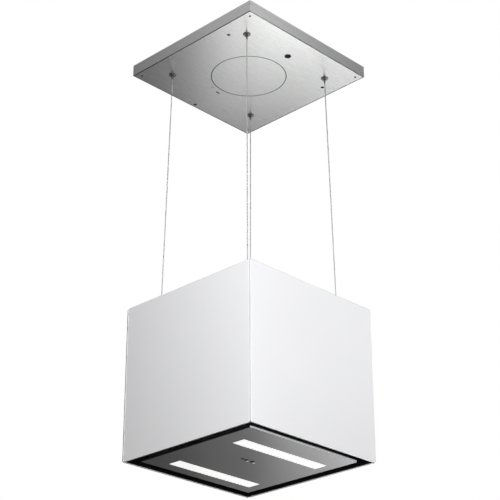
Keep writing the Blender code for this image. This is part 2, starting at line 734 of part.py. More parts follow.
def motor_body(finish):
    """Motor nested in the right half of the fan wheel."""
    near, far, bore = 0.010, BLOWER_HALF, SHAFT_RADIUS + RUNNING
    profile = [(0.0, 0.045), (bore, 0.045), (bore, near), (0.014, near), (0.016, near + 0.003),
               (MOTOR_RADIUS - 0.004, near + 0.003), (MOTOR_RADIUS, near + 0.007),
               (MOTOR_RADIUS, far - 0.004), (MOTOR_RADIUS - 0.003, far), (0.0, far)]
    bm = turned(profile, 24)
    bmesh.ops.transform(bm, matrix=Matrix.Translation((0, BLOWER_Y, up(BLOWER_LEVEL)))
                        @ Matrix.Rotation(math.pi / 2, 4, "Y"), verts=bm.verts[:])
    return object_from("motor_body", bm, finish, smooth=True)


def motor_bracket(finish):
    """Three-armed bracket that holds the motor on the right inlet."""
    near, far = BLOWER_HALF + CLEAR, BLOWER_HALF + CLEAR + 0.002
    middle = Vector((0, BLOWER_Y, up(BLOWER_LEVEL)))
    bm = bmesh.new()
    add_cylinder(bm, MOTOR_RADIUS - 0.006, middle + Vector((near, 0, 0)), middle + Vector((far, 0, 0)), 32)
    bracket = object_from("motor_bracket", bm, finish)
    for degrees in (90, 210, 330):
        arm = bmesh.new()
        add_box(arm, (near, 0.022, -0.007), (far, 0.074, 0.007))
        turn = Matrix.Translation(middle) @ Matrix.Rotation(math.radians(degrees), 4, "X")
        bmesh.ops.transform(arm, matrix=turn, verts=arm.verts[:])
        join(bracket, arm)
    return bracket


def outlet_plenum(finish):
    """Open-topped box that joins the blower's outlet to the upper chassis plate."""
    low, high = up(PLENUM_LEVEL), up(TOP_FRAME_LEVEL) - CLEAR
    half, wall = PLENUM_HALF[0], PLENUM_WALL
    profile = [(0.0, low), (half, low), (half, high), (half - wall, high), (half - wall, low + wall),
               (0.0, low + wall)]
    plenum = object_from("outlet_plenum", square_ring(profile, PLENUM_HALF[1] / half), finish)
    opening = bmesh.new()
    add_box(opening, (-BLOWER_HALF + SHEET, BLOWER_Y + TONGUE_Y + SHEET, low - 0.001),
            (BLOWER_HALF - SHEET, BLOWER_Y + SCROLL_END - SHEET, low + 0.002))
    cut(plenum, opening)
    return plenum


def charcoal_filter(finish):
    half_x, half_y = (side - PLENUM_WALL - 0.001 for side in PLENUM_HALF)
    low = up(CHARCOAL_LEVEL)
    bm = bmesh.new()
    add_box(bm, (-half_x, -half_y, low), (half_x, half_y, low + CHARCOAL_THICK), bevel=0.001, segments=1)
    return object_from("charcoal_filter", bm, finish)


# ---------------------------------------------------------------- electrics


def electronics_box(finish):
    """Box under the upper chassis plate, open below."""
    low, high = up(0.272), up(TOP_FRAME_LEVEL) - CLEAR
    bm = bmesh.new()
    add_box(bm, (-0.070, 0.122, low), (0.070, 0.172, high))
    case = object_from("electronics_box", bm, finish)
    hollow = bmesh.new()
    add_box(hollow, (-0.0685, 0.1235, low - 0.001), (0.0685, 0.1705, high - SHEET))
    cut(case, hollow)
    return case


def electronics_lid(finish):
    top = up(0.272) - CLEAR
    bm = bmesh.new()
    add_box(bm, (-0.0715, 0.1205, top - SHEET), (0.0715, 0.1735, top))
    return object_from("electronics_lid", bm, finish)


def led_driver(finish):
    bm = bmesh.new()
    top = up(TOP_FRAME_LEVEL) - CLEAR
    add_box(bm, (-0.060, -0.176, up(0.322)), (0.060, -0.136, top), bevel=0.002, segments=2)
    return object_from("led_driver", bm, finish)


# ---------------------------------------------------------------- the whole hood


def build_ceiling_box(steel, galvanised, nickel, cable_black, wire_steel):
    ceiling_frame(steel)
    ceiling_plate(steel)
    ceiling_bracket(galvanised)
    duct_blanking_disc(steel)
    cable_grommet(cable_black)
    wire_anchors(nickel)
    plate_screws(steel)
    suspension_wires(wire_steel)


def build_hood(white_glass, satin_black, galvanised, white_paint, nickel, black_plastic):
    glass_panels(white_glass)
    suction_frame(satin_black)
    bottom_frame(galvanised)
    corner_posts(galvanised)
    top_frame(galvanised)
    top_panel(white_paint)
    wire_grippers(nickel)
    cable_gland(black_plastic)


def build_suction_panel(dark_glass, galvanised, diffuser, board_green, nickel, black_plastic):
    moving = [panel_face(dark_glass), panel_tray(galvanised)]
    for place, light in (("front", FRONT_LIGHT), ("rear", REAR_LIGHT)):
        moving.append(light_diffuser(f"light_diffuser_{place}", light, diffuser))
        moving.append(led_board(f"led_board_{place}", light, board_green))
    moving.append(touch_board(board_green))
    for name, side in (("left", -1), ("right", 1)):
        moving.append(hinge_pin(f"hinge_pin_{name}", side, nickel))
        hinge_bracket(f"hinge_bracket_{name}", side, galvanised)
    hang_from(moving, "panel_hinge_axis", (0.0, HINGE_Y, up(HINGE_LEVEL)))
    plunger = panel_catch(black_plastic, nickel)
    hang_from([plunger], "catch_axis", (*plunger.location[:2], up(TRAY_TOP)))


def build_blower(galvanised, black_plastic, motor_steel, charcoal):
    blower_housing(galvanised)
    motor_body(motor_steel)
    motor_bracket(galvanised)
    outlet_plenum(galvanised)
    charcoal_filter(charcoal)
    axis = (0.0, BLOWER_Y, up(BLOWER_LEVEL))
    hang_from([impeller(black_plastic), motor_shaft(motor_steel)], "impeller_axis", axis)


def main():
    clear_scene()
    steel = material("brushed_steel", (0.62, 0.62, 0.61), 0.32, 1.0)
    galvanised = material("galvanised_steel", (0.55, 0.57, 0.58), 0.45, 1.0)
    nickel = material("dark_nickel", (0.20, 0.19, 0.18), 0.35, 1.0)
    wire_steel = material("wire_steel", (0.70, 0.70, 0.70), 0.30, 1.0)
    rubber = material("black_rubber", (0.015, 0.015, 0.015), 0.8)
    white_glass = material("white_glass", (0.86, 0.87, 0.87), 0.08)
    white_paint = material("white_paint", (0.82, 0.82, 0.81), 0.4)
    satin_black = material("satin_black", (0.012, 0.012, 0.013), 0.5)
    dark_glass = material("dark_glass", (0.11, 0.115, 0.12), 0.12)
    diffuser = material("light_diffuser", (1.0, 1.0, 0.98), 0.5, glow=2.0)
    board_green = material("circuit_board", (0.03, 0.16, 0.07), 0.45)
    black_plastic = material("black_plastic", (0.02, 0.02, 0.02), 0.45)
    aluminium = material("aluminium", (0.75, 0.76, 0.77), 0.3, 1.0)
    charcoal = material("charcoal_fibre", (0.02, 0.02, 0.02), 0.95)
    motor_steel = material("motor_steel", (0.45, 0.45, 0.46), 0.4, 1.0)
    build_ceiling_box(steel, galvanised, nickel, rubber, wire_steel)
    build_hood(white_glass, satin_black, galvanised, white_paint, nickel, black_plastic)
    build_suction_panel(dark_glass, galvanised, diffuser, board_green, nickel, black_plastic)
    build_blower(galvanised, black_plastic, motor_steel, charcoal)
    filter_frame(aluminium)
    filter_mesh(aluminium)
    hang_from([filter_latch(black_plastic)], "filter_latch_axis", (0.0, -FILTER_HALF, up(FILTER_LEVEL)))
    electronics_box(galvanised)
    electronics_lid(galvanised)
    led_driver(white_paint)


main()
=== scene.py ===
"""Island range hood: finishes, fine pieces and studio, built around the packed model.

Metres, +Z up, with the origin at the middle of the ceiling plane and the front towards -Y."""

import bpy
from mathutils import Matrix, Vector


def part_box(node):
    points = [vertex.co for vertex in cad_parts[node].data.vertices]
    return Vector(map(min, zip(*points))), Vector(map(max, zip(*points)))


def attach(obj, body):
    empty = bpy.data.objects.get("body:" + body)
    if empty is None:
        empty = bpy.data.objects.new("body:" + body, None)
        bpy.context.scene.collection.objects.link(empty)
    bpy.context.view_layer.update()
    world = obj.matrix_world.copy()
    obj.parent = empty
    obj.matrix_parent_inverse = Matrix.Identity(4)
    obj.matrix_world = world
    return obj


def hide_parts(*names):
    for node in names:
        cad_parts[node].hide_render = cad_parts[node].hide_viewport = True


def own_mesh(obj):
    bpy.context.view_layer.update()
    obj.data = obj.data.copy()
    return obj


bl_info = {
    "name": "Island Range Hood",
    "version": (1, 0, 0),
    "blender": (4, 5, 0),
    "location": "3D View > Sidebar > Hood",
    "description": "Finishes and fine pieces of a white glass island hood that hangs on four wires",
    "category": "Object",
}

import math

import bmesh
import bpy
from bpy.props import FloatProperty, FloatVectorProperty, IntProperty, PointerProperty
from mathutils import Matrix, Vector

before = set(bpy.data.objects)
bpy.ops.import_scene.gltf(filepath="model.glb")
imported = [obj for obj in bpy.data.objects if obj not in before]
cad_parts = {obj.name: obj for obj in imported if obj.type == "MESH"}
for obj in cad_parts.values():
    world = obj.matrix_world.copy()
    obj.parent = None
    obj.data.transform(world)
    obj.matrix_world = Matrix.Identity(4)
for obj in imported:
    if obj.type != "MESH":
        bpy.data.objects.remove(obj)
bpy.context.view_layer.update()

FULL_TURN = 2 * math.pi
ROOT2 = math.sqrt(2.0)
SHARP = math.radians(30)
ALONG_X = Matrix.Rotation(math.pi / 2, 4, "Y")
LOOKING_DOWN = Matrix.Rotation(math.pi, 4, "X")
GLASS_NODES = ("glass_front", "glass_rear", "glass_left", "glass_right")
SHEET_FACE = -0.0303  # level where anchors and screw heads rest on the ceiling sheet

GLASS_LOW, GLASS_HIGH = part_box("glass_front")
RIM = GLASS_LOW.z  # the glass cube's lower rim
HOOD_HALF = GLASS_HIGH.x
GLASS_THICK = GLASS_HIGH.y - GLASS_LOW.y


def up(height):
    """World height of a level measured from the cube's lower rim."""
    return RIM + height


def centre_of(node):
    low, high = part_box(node)
    return (low + high) / 2


# ---------------------------------------------------------------- settings


def length(name, description, default, precision=4):
    return FloatProperty(name=name, description=description, default=default, min=0.0,
                         unit="LENGTH", precision=precision)


def share(name, description, default, most=1.0):
    return FloatProperty(name=name, description=description, default=default, min=0.0, max=most)


def colour(name, description, default):
    return FloatVectorProperty(name=name, description=description, default=default, size=3,
                               min=0.0, max=1.0, subtype="COLOR")


class HoodSteelSettings(bpy.types.PropertyGroup):
    """Metals of the ceiling box, the chassis and the fittings."""

    steel: colour("Brushed steel", "Ceiling box sheet", (0.64, 0.645, 0.64))
    galvanised: colour("Galvanised steel", "Chassis and blower sheet", (0.56, 0.58, 0.59))
    nickel: colour("Dark nickel", "Wire anchors and grippers", (0.13, 0.13, 0.13))
    wire: colour("Wire", "Stainless suspension wires", (0.50, 0.50, 0.50))
    roughness: share("Steel roughness", "How satin the brushed sheet is", 0.27)
    grain: FloatProperty(name="Grain density", description="Brush lines per metre across the grain",
                         default=900.0, min=50.0, max=4000.0)


class HoodGlassSettings(bpy.types.PropertyGroup):
    """Glass panes and the panel's dark glass face."""

    white: colour("White glass", "Enamel behind the panes", (0.862, 0.864, 0.876))
    edge: colour("Glass edge", "Polished edges of the panes", (0.27, 0.285, 0.28))
    dark: colour("Dark glass", "Face of the suction panel", (0.030, 0.032, 0.033))
    corner: length("Pane corner", "Radius of the panes' corners", 0.003)
    arris: length("Arris", "Width of the ground edges", 0.0008)


class HoodLightSettings(bpy.types.PropertyGroup):
    """The two light strips."""

    glow: colour("Light colour", "Colour of the lit diffusers", (1.0, 1.0, 0.985))
    strength: FloatProperty(name="Light strength", description="Brightness of the lit diffusers",
                            default=0.62, min=0.0, max=20.0)


class HoodWireSettings(bpy.types.PropertyGroup):
    """Stranded suspension wires."""

    radius: length("Wire radius", "Half the wire's thickness", 0.0012)
    strands: IntProperty(name="Strands", description="Strands that show round the wire",
                         default=6, min=3, max=12)
    lay: length("Lay", "Length of wire in which a strand goes round once", 0.016)


class HoodInsideSettings(bpy.types.PropertyGroup):
    """Pieces inside the cube."""

    blades: IntProperty(name="Fan blades", description="Forward-curved blades of the fan wheel",
                        default=42, min=12, max=60)
    mesh_pitch: length("Mesh pitch", "Width of one opening in the filter's expanded metal", 0.0062)
    pleats: IntProperty(name="Pleats", description="Folds of the charcoal filter",
                        default=30, min=8, max=60)


class HoodStageSettings(bpy.types.PropertyGroup):
    """Studio round the hood."""

    floor_colour: colour("Floor", "Pale studio floor", (0.80, 0.80, 0.80))
    floor_level: FloatProperty(name="Floor level", default=-2.635, unit="LENGTH",
                               description="Height of the studio floor below the ceiling")
    sky: share("Surrounding light", "Brightness of the soft light from all round", 0.075, 4.0)
    lamps: FloatProperty(name="Studio lights", description="Brightness of all the studio lights together",
                         default=1.0, min=0.0, max=10.0)


SETTINGS = {
    "hood_steel": HoodSteelSettings,
    "hood_glass": HoodGlassSettings,
    "hood_lights": HoodLightSettings,
    "hood_wires": HoodWireSettings,
    "hood_inside": HoodInsideSettings,
    "hood_stage": HoodStageSettings,
}


# ---------------------------------------------------------------- shader nodes


def put(tree, kind, sockets=None, **values):
    """Adds a shader node. A socket is given a value, or linked to another node's output."""
    made = tree.nodes.new(kind)
    for name, value in values.items():
        setattr(made, name, value)
    for name, value in (sockets or {}).items():
        if isinstance(value, bpy.types.NodeSocket):
            tree.links.new(value, made.inputs[name])
        else:
            made.inputs[name].default_value = value
    return made


def principled(name, base, roughness, metallic=0.0, **sockets):
    """A new material with its constant values on the shader's own sockets."""
    made = bpy.data.materials.new(name)
    made.use_nodes = True
    shader = made.node_tree.nodes["Principled BSDF"]
    shader.inputs["Base Color"].default_value = (*base, 1.0)
    shader.inputs["Roughness"].default_value = roughness
    shader.inputs["Metallic"].default_value = metallic
    for socket, value in sockets.items():
        shader.inputs[socket.replace("_", " ")].default_value = value
    return made, made.node_tree, shader


def place(tree, scale=(1.0, 1.0, 1.0)):
    """Object coordinates, scaled."""
    point = put(tree, "ShaderNodeTexCoord").outputs["Object"]
    values = {"Vector": point, "Scale": scale}
    return put(tree, "ShaderNodeMapping", values).outputs["Vector"]


def noise(tree, vector, scale=1.0, detail=3.0, roughness=0.55):
    values = {"Vector": vector, "Scale": scale, "Detail": detail, "Roughness": roughness}
    return put(tree, "ShaderNodeTexNoise", values).outputs["Fac"]


def cells(tree, vector, scale, feature="F1", output="Distance", randomness=1.0):
    values = {"Vector": vector, "Scale": scale, "Randomness": randomness}
    return put(tree, "ShaderNodeTexVoronoi", values, feature=feature).outputs[output]


def ramp(tree, factor, low, high, start=0.0, end=1.0):
    """A colour that goes from low to high as the factor goes from start to end."""
    made = put(tree, "ShaderNodeValToRGB", {"Fac": factor})
    for stop, position, value in zip(made.color_ramp.elements, (start, end), (low, high)):
        stop.position = position
        stop.color = (*value, 1.0)
    return made.outputs["Color"]


def vary(tree, factor, low, high, start=0.3, end=0.7):
    values = {"Value": factor, "From Min": start, "From Max": end, "To Min": low, "To Max": high}
    return put(tree, "ShaderNodeMapRange", values).outputs["Result"]


def tint(tree, shader, factor, low, high, start=0.0, end=1.0):
    """Lets the colour go from low to high with the factor."""
    tree.links.new(ramp(tree, factor, low, high, start, end), shader.inputs["Base Color"])


def polish(tree, shader, factor, low, high, start=0.3, end=0.7):
    """Lets the roughness go from low to high with the factor."""
    tree.links.new(vary(tree, factor, low, high, start, end), shader.inputs["Roughness"])


def brighten(tree, shader, factor, low, high, start=0.3, end=0.7):
    """Lets the light given off go from low to high with the factor."""
    tree.links.new(vary(tree, factor, low, high, start, end), shader.inputs["Emission Strength"])


def calc(tree, operation, first, second=0.0):
    made = put(tree, "ShaderNodeMath", operation=operation)
    for socket, value in zip(made.inputs, (first, second)):
        if isinstance(value, bpy.types.NodeSocket):
            tree.links.new(value, socket)
        else:
            socket.default_value = value
    return made.outputs["Value"]


def emboss(tree, shader, height, distance, strength=1.0, socket="Normal"):
    values = {"Height": height, "Distance": distance, "Strength": strength}
    tree.links.new(put(tree, "ShaderNodeBump", values).outputs["Normal"], shader.inputs[socket])


def shade(base, factor):
    return tuple(min(1.0, part * factor) for part in base)


# ---------------------------------------------------------------- finishes


def grained_metal(name, base, roughness, density, spread=0.06, depth=0.00002, satin=0.055):
    """Metal with a fine grain. density is the pattern's density along X, Y and Z; satin is how far
    the roughness goes either way."""
    made, tree, shader = principled(name, base, roughness, 1.0)
    fine = noise(tree, place(tree, density), 1.0, 4.0, 0.65)
    cloud = noise(tree, place(tree, (9.0, 9.0, 9.0)), 1.0, 3.0)
    both = calc(tree, "ADD", calc(tree, "MULTIPLY", fine, 0.8), calc(tree, "MULTIPLY", cloud, 0.2))
    low, high = shade(base, 1 - spread), shade(base, 1 + spread)
    tint(tree, shader, both, low, high, 0.35, 0.65)
    polish(tree, shader, fine, roughness - satin, roughness + satin)
    emboss(tree, shader, fine, depth, 0.5)
    return made


def brushed_sheet(name):
    """Ceiling box underside, brushed from side to side."""
    steel = bpy.context.scene.hood_steel
    grain = (7.0, steel.grain, steel.grain)
    return grained_metal(name, steel.steel, steel.roughness, grain, 0.025, 0.000005, 0.02)


def brushed_skirt(name):
    """Ceiling box sides, brushed along their length, in the sheet's steel darkened to 0.84: painted shade
    on the sides.
    """
    steel = bpy.context.scene.hood_steel
    # The 0.84 darkening of the sheet's steel is painted shade on the sides.
    return grained_metal(name, shade(steel.steel, 0.84), steel.roughness, (7.0, 7.0, steel.grain))


def galvanised_sheet(name):
    """Zinc-coated sheet with its spangle of crystals."""
    base = bpy.context.scene.hood_steel.galvanised
    made, tree, shader = principled(name, base, 0.42, 1.0)
    crystal = cells(tree, place(tree), 130.0, output="Color")
    seen = put(tree, "ShaderNodeSeparateColor", {"Color": crystal}).outputs["Red"]
    tint(tree, shader, seen, shade(base, 0.84), shade(base, 1.12))
    dust = noise(tree, place(tree), 60.0, 4.0)
    mixed = calc(tree, "ADD", calc(tree, "MULTIPLY", seen, 0.6), calc(tree, "MULTIPLY", dust, 0.4))
    polish(tree, shader, mixed, 0.34, 0.54, 0.1, 0.9)
    emboss(tree, shader, mixed, 0.00004, 0.4)
    return made


def turned_nickel(name):
    """Dark plated turnings with faint tool rings."""
    base = bpy.context.scene.hood_steel.nickel
    return grained_metal(name, base, 0.34, (60.0, 60.0, 2600.0), 0.18)


def bright_nickel(name):
    """Worn bright edge of the turnings."""
    base = shade(bpy.context.scene.hood_steel.nickel, 3.6)
    return grained_metal(name, base, 0.26, (60.0, 60.0, 2600.0), 0.1)


def stranded_steel(name):
    """Drawn stainless wire, a little darker in the grooves between its strands."""
    base = bpy.context.scene.hood_steel.wire
    return grained_metal(name, base, 0.5, (300.0, 300.0, 90.0), 0.04, 0.000004)


def white_glass(name):
    """White enamel under clear glass: a soft ground under a hard, slightly uneven coat."""
    base = bpy.context.scene.hood_glass.white
    made, tree, shader = principled(name, base, 0.5, Coat_Weight=1.0, Coat_Roughness=0.02,
                                    Specular_IOR_Level=0.0)
    cloud = noise(tree, place(tree), 5.0, 3.0)
    print_dots = noise(tree, place(tree), 900.0, 2.0)
    mixed = calc(tree, "ADD", calc(tree, "MULTIPLY", cloud, 0.7), calc(tree, "MULTIPLY", print_dots, 0.3))
    tint(tree, shader, mixed, shade(base, 0.992), shade(base, 1.006), 0.35, 0.65)
    emboss(tree, shader, cloud, 0.0004, 0.12, "Coat Normal")
    return made


def glass_edge(name):
    """Polished edge of a pane, with fine grinding lines round it."""
    base = bpy.context.scene.hood_glass.edge
    made, tree, shader = principled(name, base, 0.3, Coat_Weight=0.6, Coat_Roughness=0.08)
    lines = noise(tree, place(tree, (1400.0, 1400.0, 30.0)), 1.0, 3.0)
    tint(tree, shader, lines, shade(base, 0.9), shade(base, 1.08), 0.3, 0.7)
    polish(tree, shader, lines, 0.22, 0.4)
    return made


def glass_arris_highlight(name):
    """Narrow ground chamfer, pure white and given a faint glow: a painted highlight on the panes' edges.
    """
    # White base and emission paint the arris highlight; the chamfer gives off no light of its own.
    made, tree, shader = principled(name, (1.0, 1.0, 1.0), 0.35, Coat_Weight=1.0, Coat_Roughness=0.1,
                                    Emission_Color=(1.0, 1.0, 1.0, 1.0), Emission_Strength=0.12)
    ground = noise(tree, place(tree), 1500.0, 2.0)
    tint(tree, shader, ground, (0.96, 0.97, 0.97), (1.0, 1.0, 1.0), 0.3, 0.6)
    polish(tree, shader, ground, 0.28, 0.42)
    return made


def dark_glass(name):
    """Tinted glass face: near black, with a satin-etched surface and a very fine print."""
    base = bpy.context.scene.hood_glass.dark
    made, tree, shader = principled(name, base, 0.28, IOR=1.52, Coat_Weight=0.35, Coat_Roughness=0.22)
    screen = noise(tree, place(tree, (420.0, 900.0, 420.0)), 1.0, 2.0)
    tint(tree, shader, screen, shade(base, 0.85), shade(base, 1.25), 0.3, 0.7)
    polish(tree, shader, screen, 0.272, 0.282)
    return made


def dark_glass_edge_highlight(name):
    """Ground edge of the dark glass, pale and given a glow: a painted highlight line."""
    # Pale base and emission paint the highlight along the edge; the edge gives off no light of its own.
    made, tree, shader = principled(name, (0.84, 0.86, 0.86), 0.4, Coat_Weight=0.5, Coat_Roughness=0.15,
                                    Emission_Color=(0.95, 0.97, 1.0, 1.0), Emission_Strength=0.3)
    ground = noise(tree, place(tree), 1300.0, 3.0)
    tint(tree, shader, ground, (0.76, 0.78, 0.78), (0.92, 0.94, 0.94), 0.3, 0.7)
    emboss(tree, shader, ground, 0.00003, 0.4)
    return made


def lit_diffuser(name):
    """Opal diffuser with its grid of small prisms, lit from behind."""
    lights = bpy.context.scene.hood_lights
    made, tree, shader = principled(name, (0.9, 0.9, 0.9), 0.45)
    prisms = cells(tree, place(tree), 420.0, randomness=0.0)
    cloud = noise(tree, place(tree), 22.0, 2.0)
    shader.inputs["Emission Color"].default_value = (*lights.glow, 1.0)
    full = lights.strength
    mixed = calc(tree, "ADD", calc(tree, "MULTIPLY", prisms, 0.35), calc(tree, "MULTIPLY", cloud, 0.65))
    brighten(tree, shader, mixed, full * 1.08, full * 0.94, 0.1, 0.7)
    emboss(tree, shader, prisms, 0.0003, 0.6)
    return made


def powder_black(name):
    """Satin black powder coat with its fine orange peel."""
    made, tree, shader = principled(name, (0.009, 0.009, 0.010), 0.5)
    peel = noise(tree, place(tree), 1100.0, 3.0)
    dust = noise(tree, place(tree), 40.0, 5.0)
    tint(tree, shader, dust, (0.007, 0.007, 0.008), (0.014, 0.014, 0.015), 0.3, 0.8)
    polish(tree, shader, dust, 0.42, 0.58)
    emboss(tree, shader, peel, 0.00006, 0.5)
    return made


def painted_white(name):
    """White powder coat with orange peel and a little dust in the hollows."""
    base = (0.80, 0.80, 0.79)
    made, tree, shader = principled(name, base, 0.4)
    peel = noise(tree, place(tree), 800.0, 3.0)
    dust = noise(tree, place(tree), 12.0, 5.0)
    tint(tree, shader, dust, shade(base, 0.93), shade(base, 1.02), 0.3, 0.6)
    polish(tree, shader, dust, 0.5, 0.34)
    emboss(tree, shader, peel, 0.00006, 0.5)
    return made


def moulded_black(name):
    """Moulded black plastic with a fine spark texture."""
    made, tree, shader = principled(name, (0.018, 0.018, 0.019), 0.42)
    spark = cells(tree, place(tree), 1600.0)
    rub = noise(tree, place(tree), 50.0, 4.0)
    tint(tree, shader, rub, (0.014, 0.014, 0.015), (0.028, 0.028, 0.029), 0.35, 0.8)
    polish(tree, shader, rub, 0.5, 0.36)
    emboss(tree, shader, spark, 0.00005, 0.5)
    return made


def soft_rubber(name):
    """Matt black rubber with a chalky bloom."""
    made, tree, shader = principled(name, (0.012, 0.012, 0.012), 0.8)
    bloom = noise(tree, place(tree), 300.0, 4.0)
    tint(tree, shader, bloom, (0.010, 0.010, 0.010), (0.035, 0.035, 0.034), 0.45, 0.8)
    polish(tree, shader, bloom, 0.86, 0.7)
    emboss(tree, shader, bloom, 0.00005, 0.4)
    return made


def touch_ink(name):
    """Dark gloss ink of the touch fields."""
    made, tree, shader = principled(name, (0.006, 0.006, 0.007), 0.8, Specular_IOR_Level=0.0)
    grains = noise(tree, place(tree), 2000.0, 2.0)
    tint(tree, shader, grains, (0.004, 0.004, 0.005), (0.010, 0.010, 0.011), 0.3, 0.7)
    polish(tree, shader, grains, 0.74, 0.86)
    return made


def touch_light(name):
    """Pale signs of the touch fields, dimly lit."""
    made, tree, shader = principled(name, (0.75, 0.76, 0.78), 0.4)
    shader.inputs["Emission Color"].default_value = (0.85, 0.92, 1.0, 1.0)
    grains = noise(tree, place(tree), 1500.0, 2.0)
    brighten(tree, shader, grains, 0.07, 0.11)
    tint(tree, shader, grains, (0.66, 0.68, 0.70), (0.8, 0.82, 0.84), 0.3, 0.7)
    return made


def circuit_board(name):
    """Green solder mask over copper tracks."""
    made, tree, shader = principled(name, (0.02, 0.13, 0.06), 0.35, Coat_Weight=0.3, Coat_Roughness=0.2)
    flat = place(tree, (1.0, 1.0, 0.0))
    tracks = cells(tree, flat, 260.0, feature="DISTANCE_TO_EDGE", randomness=0.6)
    tint(tree, shader, tracks, (0.05, 0.24, 0.10), (0.012, 0.10, 0.045), 0.04, 0.10)
    polish(tree, shader, tracks, 0.3, 0.42, 0.04, 0.12)
    emboss(tree, shader, tracks, 0.00006, 0.4)
    return made


def soft_aluminium(name):
    """Mill-finish aluminium with drawing lines."""
    return grained_metal(name, (0.74, 0.75, 0.76), 0.32, (30.0, 30.0, 1500.0), 0.08)


def stretched_aluminium(name):
    """Expanded aluminium, a little darkened by use."""
    return grained_metal(name, (0.58, 0.58, 0.57), 0.36, (160.0, 160.0, 160.0), 0.22)


def activated_charcoal(name):
    """Black granules held in fleece."""
    made, tree, shader = principled(name, (0.02, 0.02, 0.02), 0.95)
    grains = cells(tree, place(tree), 620.0)
    granule = cells(tree, place(tree), 620.0, output="Color")
    seen = put(tree, "ShaderNodeSeparateColor", {"Color": granule}).outputs["Red"]
    tint(tree, shader, seen, (0.010, 0.010, 0.010), (0.055, 0.055, 0.053))
    polish(tree, shader, seen, 1.0, 0.7, 0.2, 0.9)
    emboss(tree, shader, grains, 0.0006, 0.8)
    return made


def motor_shell(name):
    """Pressed and zinc-plated motor shell."""
    return grained_metal(name, (0.46, 0.46, 0.47), 0.36, (1200.0, 20.0, 20.0), 0.1)


def ground_shaft(name):
    """Ground steel shaft."""
    return grained_metal(name, (0.66, 0.66, 0.67), 0.2, (2200.0, 30.0, 30.0), 0.08)


def zinc_screw(name):
    """Bright zinc plate of the screws and rivets."""
    return grained_metal(name, (0.62, 0.63, 0.65), 0.28, (500.0, 500.0, 500.0), 0.14)


def foam_tape(name):
    """Grey bonding tape between the panes and the chassis."""
    made, tree, shader = principled(name, (0.30, 0.30, 0.31), 0.9)
    pores = cells(tree, place(tree), 1400.0)
    tint(tree, shader, pores, (0.18, 0.18, 0.19), (0.36, 0.36, 0.37), 0.0, 0.6)
    emboss(tree, shader, pores, 0.0002, 0.6)
    return made


def lamp_phosphor(name):
    """Yellow phosphor over a light-emitting chip."""
    made, tree, shader = principled(name, (0.85, 0.62, 0.10), 0.5)
    grains = noise(tree, place(tree), 2400.0, 2.0)
    tint(tree, shader, grains, (0.78, 0.55, 0.08), (0.90, 0.70, 0.18), 0.3, 0.7)
    emboss(tree, shader, grains, 0.00003, 0.4)
    return made


def painted_shade_metal(name):
    """Dark metal standing in for shade: painted shade in punched recesses, hole walls, seams and the
    inside of the skirt.
    """
    return grained_metal(name, (0.10, 0.10, 0.10), 0.5, (600.0, 600.0, 600.0), 0.2)


FINISHES = {
    "Brushed sheet": (brushed_sheet, "brushed_steel"),
    "Brushed skirt": (brushed_skirt, "brushed_steel"),
    "Painted shade": (painted_shade_metal, "brushed_steel"),
    "Galvanised sheet": (galvanised_sheet, "galvanised_steel"),
    "Zinc screw": (zinc_screw, "galvanised_steel"),
    "Turned nickel": (turned_nickel, "dark_nickel"),
    "Bright nickel": (bright_nickel, "dark_nickel"),
    "Stranded steel": (stranded_steel, "wire_steel"),
    "Soft rubber": (soft_rubber, "black_rubber"),
    "Foam tape": (foam_tape, "black_rubber"),
    "White glass": (white_glass, "white_glass"),
    "Glass edge": (glass_edge, "white_glass"),
    "Glass arris highlight": (glass_arris_highlight, "white_glass"),
    "Painted white": (painted_white, "white_paint"),
    "Powder black": (powder_black, "satin_black"),
    "Dark glass": (dark_glass, "dark_glass"),
    "Dark glass edge highlight": (dark_glass_edge_highlight, "dark_glass"),
    "Touch ink": (touch_ink, "dark_glass"),
    "Touch light": (touch_light, "light_diffuser"),
    "Lit diffuser": (lit_diffuser, "light_diffuser"),
    "Lamp phosphor": (lamp_phosphor, "light_diffuser"),
    "Circuit board": (circuit_board, "circuit_board"),
    "Moulded black": (moulded_black, "black_plastic"),
    "Soft aluminium": (soft_aluminium, "aluminium"),
    "Stretched aluminium": (stretched_aluminium, "aluminium"),
    "Activated charcoal": (activated_charcoal, "charcoal_fibre"),
    "Motor shell": (motor_shell, "motor_steel"),
    "Ground shaft": (ground_shaft, "motor_steel"),
}


def finish(name):
    """The finish of that name, made when it is first asked for."""
    return bpy.data.materials.get(name) or FINISHES[name][0](name)


def refinish(name, *nodes):
    """Gives packed nodes a finish, without touching their meshes."""
    for node in nodes:
        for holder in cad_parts[node].material_slots:
            holder.material = finish(name)


# ---------------------------------------------------------------- shapes


def piece(name, bm, finishes, body, stands_for=()):
    """Turns a bmesh into a piece that rides on a body. finishes names one finish or several."""
    names = [finishes] if isinstance(finishes, str) else list(finishes)
    bmesh.ops.recalc_face_normals(bm, faces=bm.faces[:])
    mesh = bpy.data.meshes.new(name)
    bm.to_mesh(mesh)
    bm.free()
    for each in names:
        mesh.materials.append(finish(each))
    mesh.shade_smooth()
    mesh.set_sharp_from_angle(angle=SHARP)
    made = bpy.data.objects.new(name, mesh)
    bpy.context.scene.collection.objects.link(made)
    flats = made.modifiers.new("Flat faces stay flat", "WEIGHTED_NORMAL")
    flats.weight = 90
    flats.keep_sharp = True
    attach(made, body)
    if stands_for:
        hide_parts(*stands_for)
    return made


def soften(bm, width, segments=2, edges=None, sharper_than=SHARP):
    """Rounds the sharp edges, or only the edges given, and returns the new faces."""
    bmesh.ops.recalc_face_normals(bm, faces=bm.faces[:])
    chosen = edges if edges is not None else bm.edges
    sharp = [e for e in chosen if len(e.link_faces) == 2 and e.calc_face_angle() > sharper_than]
    return bmesh.ops.bevel(bm, geom=sharp, offset=width, offset_type="OFFSET", segments=segments,
                           affect="EDGES", profile=0.5, material=-1, clamp_overlap=True)["faces"]


